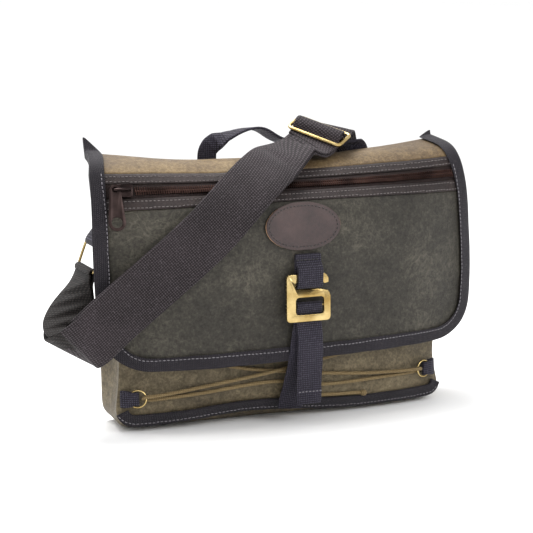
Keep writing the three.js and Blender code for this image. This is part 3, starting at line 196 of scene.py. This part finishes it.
mottle, g_in, g_out = new_group(
    "uneven_wax",
    [("Vector", "NodeSocketVector", None), ("Scale", "NodeSocketFloat", 12.0)],
    [("Broad", "NodeSocketFloat"), ("Fine", "NodeSocketFloat"), ("Scuffs", "NodeSocketFloat")],
)
add, maths = nodes_of(mottle)
broad = add(
    "ShaderNodeTexNoise",
    {"Vector": g_in.outputs[0], "Scale": g_in.outputs[1], "Detail": 5.0, "Roughness": 0.62},
)
fine = add("ShaderNodeTexNoise", {"Vector": g_in.outputs[0], "Scale": 190.0, "Detail": 6.0, "Roughness": 0.7})
drift = add("ShaderNodeTexNoise", {"Vector": g_in.outputs[0], "Scale": 9.0, "Detail": 2.0}).node
bent = add("ShaderNodeVectorMath", {0: g_in.outputs[0], 1: drift.outputs["Color"]}, operation="ADD")
cells = add("ShaderNodeTexNoise", {"Vector": bent, "Scale": 28.0, "Detail": 2.0, "Roughness": 0.5})
thin = maths("SUBTRACT", 1.0, maths("MULTIPLY", maths("ABSOLUTE", maths("SUBTRACT", cells, 0.5)), 26.0))
where = maths("MAXIMUM", maths("MULTIPLY_ADD", broad, 6.0, -3.1), 0.0)
patchy = maths("MULTIPLY", maths("MAXIMUM", thin, 0.0), where)
mottle.links.new(broad, g_out.inputs[0])
mottle.links.new(fine, g_out.inputs[1])
mottle.links.new(maths("MINIMUM", patchy, 1.0), g_out.inputs[2])
print("groups", [g.name for g in bpy.data.node_groups])

# %% [markdown]
# Cloth materials. Waxed canvas is a tight cotton weave whose wax gathers unevenly, so it is darker and
# lighter in soft clouds, with pale thin lines where a fold broke the wax, and a low broad shine. Tapes and
# webbing are coarser: herringbone on the bindings, a ribbed weave on the straps.

# %% Cloth materials


def linear(r, g, b):
    return tuple(((c / 255 + 0.055) / 1.055) ** 2.4 if c > 10 else c / 3294 for c in (r, g, b)) + (1.0,)


def surface(name):
    made = bpy.data.materials.new(name)
    made.use_nodes = True
    tree = made.node_tree
    shader = tree.nodes["Principled BSDF"]
    add, maths = nodes_of(tree)
    place = add("ShaderNodeTexCoord").node.outputs["Object"]
    return made, tree, shader, add, maths, place


def ramp(add, factor, stops):
    made = add("ShaderNodeValToRGB", {0: factor}).node
    band = made.color_ramp
    for at, color in stops[1:-1]:
        band.elements.new(at).color = color
    band.elements[0].position, band.elements[0].color = stops[0]
    band.elements[-1].position, band.elements[-1].color = stops[-1]
    return made.outputs[0]


def mixed(add, factor, first, second, kind="MIX"):
    made = add("ShaderNodeMix", {0: factor}, data_type="RGBA", blend_type=kind).node
    for socket, value in ((made.inputs[6], first), (made.inputs[7], second)):
        if hasattr(value, "is_output"):
            made.id_data.links.new(value, socket)
        else:
            socket.default_value = value
    return made.outputs[2]


def canvas_material(name, dark, middle, light, scratch, pitch=0.0011):
    made, tree, shader, add, maths, place = surface(name)
    cloth = use_group(tree, weave, {"Vector": place, "Pitch": pitch})
    wax = use_group(tree, mottle, {"Vector": place, "Scale": 13.0})
    speckle = add("ShaderNodeTexNoise", {"Vector": place, "Scale": 430.0, "Detail": 4.0, "Roughness": 0.75})
    grainy = maths("ADD", maths("MULTIPLY", wax.outputs["Fine"], 0.3), maths("MULTIPLY", speckle, 0.34))
    clouds = maths("ADD", maths("MULTIPLY", wax.outputs["Broad"], 0.36), grainy)
    color = ramp(add, clouds, [(0.41, dark), (0.5, middle), (0.6, light)])
    color = mixed(add, maths("MULTIPLY", wax.outputs["Scuffs"], 0.26), color, scratch)
    shade = maths("MULTIPLY_ADD", cloth.outputs["Shade"], 0.3, 0.7)
    gray = add("ShaderNodeCombineColor", {0: shade, 1: shade, 2: shade})
    color = mixed(add, 1.0, color, gray, "MULTIPLY")
    tree.links.new(color, shader.inputs["Base Color"])
    rough = maths("MULTIPLY_ADD", wax.outputs["Fine"], -0.2, 0.66)
    tree.links.new(rough, shader.inputs["Roughness"])
    coarse = maths("ADD", wax.outputs["Fine"], speckle)
    lumps = maths("ADD", maths("MULTIPLY", cloth.outputs["Height"], 0.35), coarse)
    bump = add("ShaderNodeBump", {"Height": lumps, "Strength": 0.5, "Distance": 0.001})
    tree.links.new(bump, shader.inputs["Normal"])
    shader.inputs["Sheen Weight"].default_value = 0.03
    shader.inputs["Specular IOR Level"].default_value = 0.3
    return made


flap_canvas = canvas_material(
    "waxed_flap_canvas", linear(31, 28, 23), linear(48, 45, 38), linear(72, 68, 59), linear(134, 128, 112)
)
# Lighter, tanner copy of the flap canvas for the flap's level top: painted light, for the light falling on the
# top and its wax sheen.
painted_light_top_canvas = canvas_material(
    "waxed_canvas_painted_top_light", linear(66, 50, 30), linear(94, 76, 50), linear(124, 104, 72), linear(166, 146, 110)
)
body_canvas = canvas_material(
    "waxed_body_canvas", linear(60, 52, 38), linear(88, 78, 59), linear(118, 106, 82), linear(160, 146, 118)
)
band_canvas = canvas_material(
    "waxed_band_canvas",
    linear(24, 17, 17),
    linear(37, 28, 27),
    linear(50, 40, 38),
    linear(70, 58, 54),
    pitch=0.0009,
)


def webbing_material(name, dark, light, along, rib, herringbone, fleck=None):
    made, tree, shader, add, maths, place = surface(name)
    run = Vector(along).normalized()
    sideways = run.cross(Vector((0.0, -1.0, 0.0))).normalized()
    down, beside = (
        add("ShaderNodeVectorMath", {0: place, 1: tuple(way)}, operation="DOT_PRODUCT").node.outputs["Value"]
        for way in (run, sideways)
    )
    slanted = maths("ADD", down, maths("PINGPONG", beside, herringbone)) if herringbone else down
    phase = maths("MULTIPLY", slanted, math.tau / rib)
    ribs = maths("MULTIPLY_ADD", maths("SINE", phase), 0.5, 0.5)
    crosswise = maths("MULTIPLY", beside, math.tau / (rib * 0.9))
    threads = maths("MULTIPLY_ADD", maths("SINE", crosswise), 0.5, 0.5)
    fuzz = add("ShaderNodeTexNoise", {"Vector": place, "Scale": 620.0, "Detail": 4.0})
    broad = add("ShaderNodeTexNoise", {"Vector": place, "Scale": 22.0, "Detail": 3.0})
    knots = maths("MULTIPLY", ribs, threads)
    height = maths("ADD", maths("MULTIPLY", knots, 1.0), maths("MULTIPLY", fuzz, 0.4))
    tone = maths("ADD", maths("MULTIPLY", height, 0.6), maths("MULTIPLY", broad, 0.3))
    color = ramp(add, tone, [(0.24, dark), (0.86, light)])
    if fleck:
        color = mixed(add, maths("MULTIPLY", maths("GREATER_THAN", fuzz, 0.62), 0.22), color, fleck)
    tree.links.new(color, shader.inputs["Base Color"])
    tree.links.new(maths("MULTIPLY_ADD", fuzz, -0.15, 0.86), shader.inputs["Roughness"])
    bump = add("ShaderNodeBump", {"Height": height, "Strength": 0.55, "Distance": 0.0009})
    tree.links.new(bump, shader.inputs["Normal"])
    shader.inputs["Sheen Weight"].default_value = 0.04
    shader.inputs["Specular IOR Level"].default_value = 0.2
    return made


binding_tape = webbing_material(
    "herringbone_binding",
    linear(21, 19, 23),
    linear(58, 54, 60),
    (0, 0, 1),
    rib=0.0018,
    herringbone=0.0026,
    fleck=linear(72, 66, 66),
)
dark_webbing = webbing_material(
    "dark_webbing", linear(22, 20, 27), linear(68, 64, 77), (0, 0, 1), 0.002, 0.0, linear(92, 88, 96)
)
strap_webbing = webbing_material(
    "strap_webbing",
    linear(22, 18, 19),
    linear(74, 66, 70),
    (0.79, 0.0, 0.61),
    rib=0.0022,
    herringbone=0.0,
    fleck=linear(96, 90, 94),
)
# Darker copy of the strap webbing: painted shade, for the part of the strap that hangs in shade beside the bag.
painted_shade_strap_webbing = webbing_material(
    "strap_webbing_painted_shade",
    linear(12, 9, 8),
    linear(40, 34, 32),
    (0.28, 0.3, 0.9),
    rib=0.0022,
    herringbone=0.0,
    fleck=linear(54, 48, 46),
)
zip_webbing = webbing_material(
    "zip_tape_cloth", linear(26, 19, 18), linear(68, 54, 52), (1, 0, 0), 0.0014, 0.0, linear(80, 68, 64)
)
cord_cloth = webbing_material(
    "braided_cord", linear(92, 76, 50), linear(158, 138, 100), (1, 0, 0), 0.0016, 0.0008, linear(134, 118, 86)
)
print("cloth materials", [m.name for m in bpy.data.materials])

# %% [markdown]
# Leather, brass, the antique zip metal and the sewing thread. Leather has a pebbled grain and a paler worn
# rim. The brass is polished but handled, so its roughness wanders and fine scratches cross it. The zip metal
# is darker.

# %% Leather, metal and thread materials


def metal_material(name, dark, bright, rough):
    made, tree, shader, add, maths, place = surface(name)
    cloud = add("ShaderNodeTexNoise", {"Vector": place, "Scale": 60.0, "Detail": 5.0})
    stretched = add("ShaderNodeMapping", {"Vector": place, "Scale": (90.0, 90.0, 1400.0)})
    scratches = add("ShaderNodeTexNoise", {"Vector": stretched, "Scale": 1.0, "Detail": 2.0})
    tree.links.new(ramp(add, cloud, [(0.3, dark), (0.72, bright)]), shader.inputs["Base Color"])
    tree.links.new(maths("MULTIPLY_ADD", scratches, 0.22, rough), shader.inputs["Roughness"])
    relief = maths("ADD", cloud, scratches)
    bump = add("ShaderNodeBump", {"Height": relief, "Strength": 0.08, "Distance": 0.0004})
    tree.links.new(bump, shader.inputs["Normal"])
    shader.inputs["Metallic"].default_value = 1.0
    return made


brass = metal_material("brass", linear(150, 124, 72), linear(208, 186, 132), 0.14)
zip_metal = metal_material("antique_zip_metal", linear(30, 24, 24), linear(70, 58, 56), 0.26)
tooth_metal = metal_material("zip_tooth_metal", linear(36, 26, 24), linear(86, 64, 58), 0.3)


def leather_material(name, dark, light, rough):
    made, tree, shader, add, maths, place = surface(name)
    cells = add("ShaderNodeTexVoronoi", {"Vector": place, "Scale": 620.0}, feature="DISTANCE_TO_EDGE")
    pores = add("ShaderNodeTexNoise", {"Vector": place, "Scale": 300.0, "Detail": 5.0})
    broad = add("ShaderNodeTexNoise", {"Vector": place, "Scale": 30.0, "Detail": 4.0})
    tone = maths("ADD", maths("MULTIPLY", broad, 0.8), maths("MULTIPLY", pores, 0.3))
    tree.links.new(ramp(add, tone, [(0.4, dark), (0.72, light)]), shader.inputs["Base Color"])
    tree.links.new(maths("MULTIPLY_ADD", pores, 0.25, rough), shader.inputs["Roughness"])
    grain = maths("ADD", maths("MINIMUM", maths("MULTIPLY", cells, 6.0), 1.0), maths("MULTIPLY", pores, 0.6))
    bump = add("ShaderNodeBump", {"Height": grain, "Strength": 0.3, "Distance": 0.0005})
    tree.links.new(bump, shader.inputs["Normal"])
    shader.inputs["Specular IOR Level"].default_value = 0.5
    return made


leather = leather_material("brown_leather", linear(38, 26, 26), linear(68, 51, 49), 0.38)
cut_leather = leather_material("leather_cut_edge", linear(132, 100, 74), linear(176, 140, 106), 0.6)


def thread_material(name, dark, light):
    made, tree, shader, add, maths, place = surface(name)
    fuzz = add("ShaderNodeTexNoise", {"Vector": place, "Scale": 1500.0, "Detail": 3.0})
    tree.links.new(ramp(add, fuzz, [(0.35, dark), (0.65, light)]), shader.inputs["Base Color"])
    bump = add("ShaderNodeBump", {"Height": fuzz, "Strength": 0.4, "Distance": 0.0003})
    tree.links.new(bump, shader.inputs["Normal"])
    shader.inputs["Roughness"].default_value = 0.75
    shader.inputs["Sheen Weight"].default_value = 0.2
    return made


dark_thread = thread_material("dark_thread", linear(14, 11, 11), linear(36, 28, 26))
pale_thread = thread_material("pale_thread", linear(70, 64, 64), linear(118, 110, 108))
tape_thread = thread_material("tape_thread", linear(92, 88, 92), linear(146, 142, 148))
print("materials", len(bpy.data.materials))

# %% [markdown]
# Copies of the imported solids: each cloth piece starts from the solid that the frame gives, with its loose
# triangles merged back into quads, its sharp rims kept by creases, and two rounds of subdivision, so that it
# reads as cloth and not as facets. One gentle field of unevenness moves all cloth together, so layers keep
# their gaps, and it fades out near the hard pieces, which can't move.

# %% Helpers that build pieces from the frame
quiet_spots = [
    (Vector((0.002, -0.05, 0.123)), 0.045),
    (Vector((-0.166, -0.036, 0.225)), 0.03),
    (Vector((0.047, 0.0, 0.27)), 0.05),
] + [
    ((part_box(n)[0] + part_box(n)[1]) / 2, 0.028)
    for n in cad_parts
    if n.startswith("lace_ring") or n.startswith("strap_ring")
]


def unevenness(p):
    """How far the cloth at p stands off its even shape, metres."""
    quiet = 1.0
    for centre, reach in quiet_spots:
        away = ((p - centre).length - reach * 0.6) / (reach * 0.8)
        quiet = min(quiet, max(0.0, min(1.0, away)))
    low = max(0.0, min(1.0, (0.09 - p.z) / 0.04))
    broad = noise.noise(Vector((p.x * 17, p.y * 6, p.z * 20)))
    crease = noise.noise(Vector((p.x * 46 + p.z * 20, p.y * 10, p.z * 52 - p.x * 12)))
    steady = max(0.0, min(1.0, p.z / 0.02))
    return quiet * steady * (0.0014 * broad + (0.0005 + 0.0014 * low) * crease)


pinches = [
    (Vector((-0.135, -0.05, 0.05)), 0.02, 0.0026),
    (Vector((-0.1, -0.05, 0.03)), 0.018, -0.0012),
    (Vector((0.145, -0.05, 0.055)), 0.016, 0.0022),
    (Vector((-0.11, -0.05, 0.225)), 0.03, -0.0008),
    (Vector((0.12, -0.05, 0.14)), 0.03, 0.001),
]


def pinched(p):
    """How far the pulls of the tabs and the load draw the cloth back at p, metres."""
    total = 0.0
    for centre, reach, deep in pinches:
        away = (p.x - centre.x) ** 2 + (p.z - centre.z) ** 2
        total += deep * math.exp(-away / reach**2)
    return total


def joined_copy(node):
    """The node's mesh with its doubles merged and its triangles joined into quads."""
    bm = bmesh.new()
    bm.from_mesh(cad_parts[node].data)
    bmesh.ops.remove_doubles(bm, verts=bm.verts, dist=2e-5)
    bmesh.ops.join_triangles(bm, faces=bm.faces, angle_face_threshold=0.35, angle_shape_threshold=1.0)
    bmesh.ops.recalc_face_normals(bm, faces=bm.faces)
    return bm


def new_object(name, bm, *materials):
    mesh = bpy.data.meshes.new(name)
    bm.to_mesh(mesh)
    bm.free()
    mesh.shade_smooth()
    for material in materials:
        mesh.materials.append(material)
    made = bpy.data.objects.new(name, mesh)
    bpy.context.collection.objects.link(made)
    return made


def settled(made):
    """The object with its modifiers applied."""
    graph = bpy.context.evaluated_depsgraph_get()
    mesh = bpy.data.meshes.new_from_object(made.evaluated_get(graph))
    made.modifiers.clear()
    old = made.data
    made.data = mesh
    bpy.data.meshes.remove(old)
    mesh.name = made.name
    return made


def cloth_piece(name, node, slot, *materials, rounds=2, crease_over=40.0, crease=0.6, uneven=1.0, swell=0.0):
    bm = joined_copy(node)
    layer = bm.edges.layers.float.new("crease_edge")
    for edge in bm.edges:
        if len(edge.link_faces) == 2 and edge.calc_face_angle(0.0) > math.radians(crease_over):
            edge[layer] = crease
    made = new_object(name, bm, *materials)
    smooth = made.modifiers.new("smooth", "SUBSURF")
    smooth.levels = smooth.render_levels = rounds
    settled(made)
    if swell:
        for vertex, normal in [(v, v.normal.copy()) for v in made.data.vertices]:
            vertex.co += normal * swell
    if uneven:
        for vertex in made.data.vertices:
            shift = uneven * unevenness(vertex.co)
            if vertex.co.y < 0.01:
                shift -= uneven * pinched(vertex.co)
            share = max(0.0, min(1.0, (vertex.co.z - 0.22) / 0.04))
            vertex.co.y -= shift * (1 - share)
            vertex.co.z += shift * share
    made.data.shade_smooth()
    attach(made, "bag")
    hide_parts(node)
    return made


def tree_of(made):
    return BVHTree.FromPolygons([v.co for v in made.data.vertices], [p.vertices for p in made.data.polygons])


def from_front(tree, x, z):
    """Where a ray along +Y first meets the piece, and the face's normal there."""
    place, normal, _, _ = tree.ray_cast(Vector((x, -0.5, z)), Vector((0, 1, 0)))
    return (place, normal) if place else None


print("CAD nodes", len(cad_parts))

# %% [markdown]
# Canvas panels: the bag's body, its flap and the stitched bands along the zip.

# %% Canvas pieces
front_piece = cloth_piece("front_canvas", "front_panel", "body_canvas", body_canvas)
cloth_piece("back_canvas", "back_panel", "body_canvas", body_canvas)
cloth_piece("gusset_canvas", "gusset", "body_canvas", body_canvas)
cloth_piece("lining_canvas", "flap_lining", "flap_canvas", body_canvas)
# The flap's top gets the lighter canvas copy, which is painted light.
cloth_piece("flap_top_canvas", "flap_upper_panel", "flap_canvas", painted_light_top_canvas)
flap = cloth_piece("flap_front_canvas", "flap_front_panel", "flap_canvas", flap_canvas)
band_high = cloth_piece("band_above_zip", "zip_band_upper", "band_cloth", band_canvas)
band_low = cloth_piece("band_below_zip", "zip_band_lower", "band_cloth", band_canvas)
cloth_piece("zip_cloth", "zip_tape", "band_cloth", zip_webbing)
print("flap faces", len(flap.data.polygons), "front faces", len(front_piece.data.polygons))

# %% [markdown]
# Tapes and webbing: bindings folded over the canvas edges, the closure's loop and strap, the carry handle,
# the tabs that hold rings, and the wide shoulder strap. On the real bag all are woven strips, cut to length
# and sewn down, so each keeps its width and bends only along its length.

# %% Tapes and webbing
binding = cloth_piece("flap_edge_tape", "flap_binding", "binding_tape", binding_tape)
body_tape = cloth_piece("body_edge_tape", "body_binding", "binding_tape", binding_tape)
loop = cloth_piece("hook_loop", "closure_loop", "dark_webbing", dark_webbing)
tail = cloth_piece("hook_strap", "closure_strap", "dark_webbing", dark_webbing)
cloth_piece("grab_handle", "carry_handle", "dark_webbing", dark_webbing, uneven=0)
strap = cloth_piece("wide_strap", "shoulder_strap", "strap_webbing", strap_webbing, painted_shade_strap_webbing, uneven=0)
# The strap's hanging part, left of the bag, gets the darker webbing copy, which is painted shade.
for face in strap.data.polygons:
    if face.center.x < -0.183 and face.center.y > -0.052 and face.center.z > 0.085:
        face.material_index = 1
for node in sorted(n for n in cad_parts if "_tab_" in n):
    cloth_piece(f"{node}_webbing", node, "dark_webbing", dark_webbing, uneven=0)
cloth_piece("braided_lace", "lace_cord", "cord", cord_cloth, uneven=0, crease_over=200, swell=0.0003)
cloth_piece("short_lace", "bottom_cord", "cord", cord_cloth, uneven=0, crease_over=200, swell=0.0003)
print("strap faces", len(strap.data.polygons))

# %% [markdown]
# Hard pieces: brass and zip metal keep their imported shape. Rounded rims catch the light, so each is a copy
# with its sharp edges bevelled, and the wire rings are smoothed.

# %% Brass and zip metal


def hard_piece(name, node, material, bevel=0.0, rounds=0, body="bag"):
    bm = joined_copy(node)
    if bevel:
        sharp = [e for e in bm.edges if len(e.link_faces) == 2 and e.calc_face_angle(0.0) > math.radians(50)]
        bmesh.ops.bevel(
            bm,
            geom=sharp,
            offset=bevel,
            segments=2,
            profile=0.5,
            affect="EDGES",
            material=-1,
            clamp_overlap=True,
        )
    made = new_object(name, bm, material)
    if rounds:
        smooth = made.modifiers.new("smooth", "SUBSURF")
        smooth.levels = smooth.render_levels = rounds
        settled(made)
        made.data.shade_smooth()
    else:
        made.data.set_sharp_from_angle(angle=math.radians(42))
    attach(made, body)
    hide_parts(node)
    return made


hard_piece("brass_hook", "hook_buckle", brass, bevel=0.001)
hard_piece("brass_slide", "strap_slide", brass)
ring_nodes = [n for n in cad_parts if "_ring_" in n]
for node in ring_nodes:
    hard_piece(f"{node}_brass", node, brass, rounds=1)
hard_piece("zip_slider_metal", "zip_slider", zip_metal, bevel=0.0004)
hard_piece("zip_pull_metal", "zip_pull", zip_metal, bevel=0.0004, body="pull")
print("hard pieces", 4 + len(ring_nodes))

# %% [markdown]
# Leather patch: a thin oval of vegetable-tanned leather, die cut, sewn round its rim. It is left bare. Its
# front is the finished grain side; its cut edge is the paler raw hide, so that edge has its own material.

# %% Leather patch
patch = cloth_piece(
    "oval_patch", "leather_patch", "leather", leather, cut_leather, crease=0.5, crease_over=50
)
middle = sum((v.co for v in patch.data.vertices), Vector()) / len(patch.data.vertices)
facing = from_front(tree_of(patch), middle.x, middle.z)[1]
for face in patch.data.polygons:
    face.material_index = 1 if face.normal.dot(facing) < 0.5 else 0
print("patch cut-edge faces", sum(f.material_index for f in patch.data.polygons))

# %% [markdown]
# Zip teeth: a closed metal zip is two rows of small pressed teeth that mesh on a centre line. Each tooth is a
# bevelled block on the chain's own surface, the two rows half a pitch apart.

# %% Zip teeth
chain_tree = BVHTree.FromObject(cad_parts["zip_chain"], bpy.context.evaluated_depsgraph_get())


def span_up(tree, x, low, high, step=0.0004):
    """The lowest and highest z at which a ray from the front meets the piece at this x."""
    found = [low + k * step for k in range(int((high - low) / step)) if from_front(tree, x, low + k * step)]
    return (found[0], found[-1]) if found else None


def block(bm, place, right, up, out, size, bevel):
    made = bmesh.ops.create_cube(bm, size=1)["verts"]
    turn = Matrix((right, up, out)).transposed()
    for vertex in made:
        scaled_corner = Vector([c * s for c, s in zip(vertex.co, size)])
        vertex.co = place + turn @ scaled_corner
    edges = list({e for v in made for e in v.link_edges})
    bmesh.ops.bevel(bm, geom=edges, offset=bevel, segments=1, profile=0.5, affect="EDGES", material=-1)


low_chain, high_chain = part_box("zip_chain")
pitch = 0.0021
count = int((high_chain.x - low_chain.x - 0.004) / pitch)
bm = bmesh.new()
line = []
for k in range(count + 1):
    x = low_chain.x + 0.002 + k * pitch
    span = span_up(chain_tree, x, low_chain.z - 0.002, high_chain.z + 0.002)
    if span:
        place, normal = from_front(chain_tree, x, (span[0] + span[1]) / 2)
        line.append((place, normal, span))
for i, (place, normal, span) in enumerate(line):
    ahead = line[min(i + 1, len(line) - 1)][0] - line[max(i - 1, 0)][0]
    right = ahead.normalized()
    out = (normal - right * normal.dot(right)).normalized()
    up = out.cross(right)
    if up.z < 0:
        up.negate()
    half = (span[1] - span[0]) / 2
    for row, side in enumerate((1, -1)):
        at = place + right * (pitch * 0.5 * row) + up * (side * half * 0.56) - out * 0.0009
        block(bm, at, right, up, out, (pitch * 0.56, half * 0.72, 0.0026), 0.0003)
    at = place + right * (pitch * 0.25) - out * 0.0012
    block(bm, at, right, up, out, (pitch * 1.02, half * 0.42, 0.0022), 0.0003)
teeth = new_object("zip_teeth", bm, tooth_metal)
teeth.data.set_sharp_from_angle(angle=math.radians(30))
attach(teeth, "bag")
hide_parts("zip_chain")
print("teeth", 2 * len(line), "faces", len(teeth.data.polygons))

# %% [markdown]
# Stitching: lockstitch rows, about 3 mm a stitch, drawn tight so that each stitch is a short thread sunk at
# both ends. Each row is found on the piece itself by rays from the front, so it lies on the cloth and follows
# its folds.

# %% Stitch rows
thread_profile = [(-1.0, 0.25), (-0.6, 0.85), (0.0, 1.0), (0.6, 0.85), (1.0, 0.25)]


def stitch(bm, place, along, out, length, thick):
    beside = out.cross(along).normalized()
    rings_here = []
    for t, swell in thread_profile:
        centre = place + along * (t * length / 2) + out * (thick * 0.36 * (swell - 0.55))
        rings_here.append(
            [
                bm.verts.new(centre + (beside * math.cos(a) + out * math.sin(a)) * (thick / 2 * swell))
                for a in (k * math.tau / 6 for k in range(6))
            ]
        )
    for ring, following in zip(rings_here, rings_here[1:]):
        for k in range(6):
            bm.faces.new((ring[k], ring[(k + 1) % 6], following[(k + 1) % 6], following[k]))
    bm.faces.new(rings_here[0][::-1])
    bm.faces.new(rings_here[-1])


def stitch_row(bm, tree, points, length=0.0027, gap=0.0011, thick=0.0008):
    """Stitches along a list of (x, z) points, each laid on the piece where a ray from the front meets it."""
    landed = [from_front(tree, x, z) for x, z in points]
    landed = [item for item in landed if item]
    walked, due, made = 0.0, 0.0, 0
    for (a, normal), (b, _) in zip(landed, landed[1:]):
        run = b - a
        if run.length > 0.02 or run.length == 0:
            continue
        while due <= walked + run.length:
            place = a + run * ((due - walked) / run.length)
            along = (run - normal * run.dot(normal)).normalized()
            stitch(bm, place, along, normal, length, thick)
            due += length + gap
            made += 1
        walked += run.length
    return made


def sewn(name, bm, material):
    bmesh.ops.recalc_face_normals(bm, faces=bm.faces)
    made = new_object(name, bm, material)
    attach(made, "bag")
    return made


def rim(tree, centre, angles, reach, inner=False, step=0.0006):
    """For each angle, how far from the centre (x, z) the piece reaches, or where it begins."""
    found = []
    for angle in angles:
        direction = (math.cos(angle), math.sin(angle))
        distances = [k * step for k in range(int(reach[0] / step), int(reach[1] / step))]
        hits = [
            d
            for d in distances
            if from_front(tree, centre[0] + direction[0] * d, centre[1] + direction[1] * d)
        ]
        if hits:
            found.append((angle, hits[0] if inner else hits[-1]))
    return found


bm = bmesh.new()
band_rows = 0
for piece, node in ((band_high, "zip_band_upper"), (band_low, "zip_band_lower")):
    tree = tree_of(piece)
    low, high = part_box(node)
    spans = []
    for k in range(121):
        x = low.x + 0.003 + (high.x - low.x - 0.006) * k / 120
        span = span_up(tree, x, low.z - 0.001, high.z + 0.001, 0.0006)
        if span:
            spans.append((x, span))
    band_rows += stitch_row(bm, tree, [(x, s[0] + 0.002) for x, s in spans])
    band_rows += stitch_row(bm, tree, [(x, s[1] - 0.0022) for x, s in spans])
sewn("band_stitches", bm, pale_thread)

bm = bmesh.new()
tree = tree_of(binding)
angles = [math.radians(a) for a in range(157, 383, 1)]
edge = rim(tree, (0.0, 0.165), angles, (0.09, 0.22), inner=True)
bind_row = [(math.cos(a) * (d + 0.0036), 0.165 + math.sin(a) * (d + 0.0036)) for a, d in edge]
tape_stitches = stitch_row(bm, tree, bind_row)
tree = tree_of(body_tape)
low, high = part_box("body_binding")
row = []
for k in range(141):
    x = low.x + 0.003 + (high.x - low.x - 0.006) * k / 140
    span = span_up(tree, x, low.z, high.z + 0.001, 0.0006)
    if span:
        row.append((x, span[0] + 0.0028))
tape_stitches += stitch_row(bm, tree, row)
sewn("tape_stitches", bm, tape_thread)

bm = bmesh.new()
tree = tree_of(patch)
centre = (middle.x, middle.z)
edge = rim(tree, centre, [math.radians(a) for a in range(0, 363, 3)], (0.01, 0.045), step=0.0003)
from_rim = 0.0032
patch_row = [
    (centre[0] + math.cos(a) * (d - from_rim), centre[1] + math.sin(a) * (d - from_rim)) for a, d in edge
]
patch_stitches = stitch_row(bm, tree, patch_row, length=0.0024, gap=0.0012, thick=0.0011)
sewn("patch_stitches", bm, dark_thread)

bm = bmesh.new()
low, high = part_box("closure_loop")
tree = tree_of(loop)
steps_across = int((high.x - low.x) / 0.001) - 3
loop_row = [(low.x + 0.002 + k * 0.001, high.z - 0.0055) for k in range(steps_across)]
stitch_row(bm, tree, loop_row, thick=0.0011)
sewn("loop_stitches", bm, dark_thread)
bm = bmesh.new()
low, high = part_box("closure_strap")
tree = tree_of(tail)
stitch_row(bm, tree, [(-0.008 + k * 0.001, 0.0335) for k in range(24)], length=0.0024)
sewn("closure_stitches", bm, tape_thread)
print("stitches", band_rows, tape_stitches, patch_stitches)
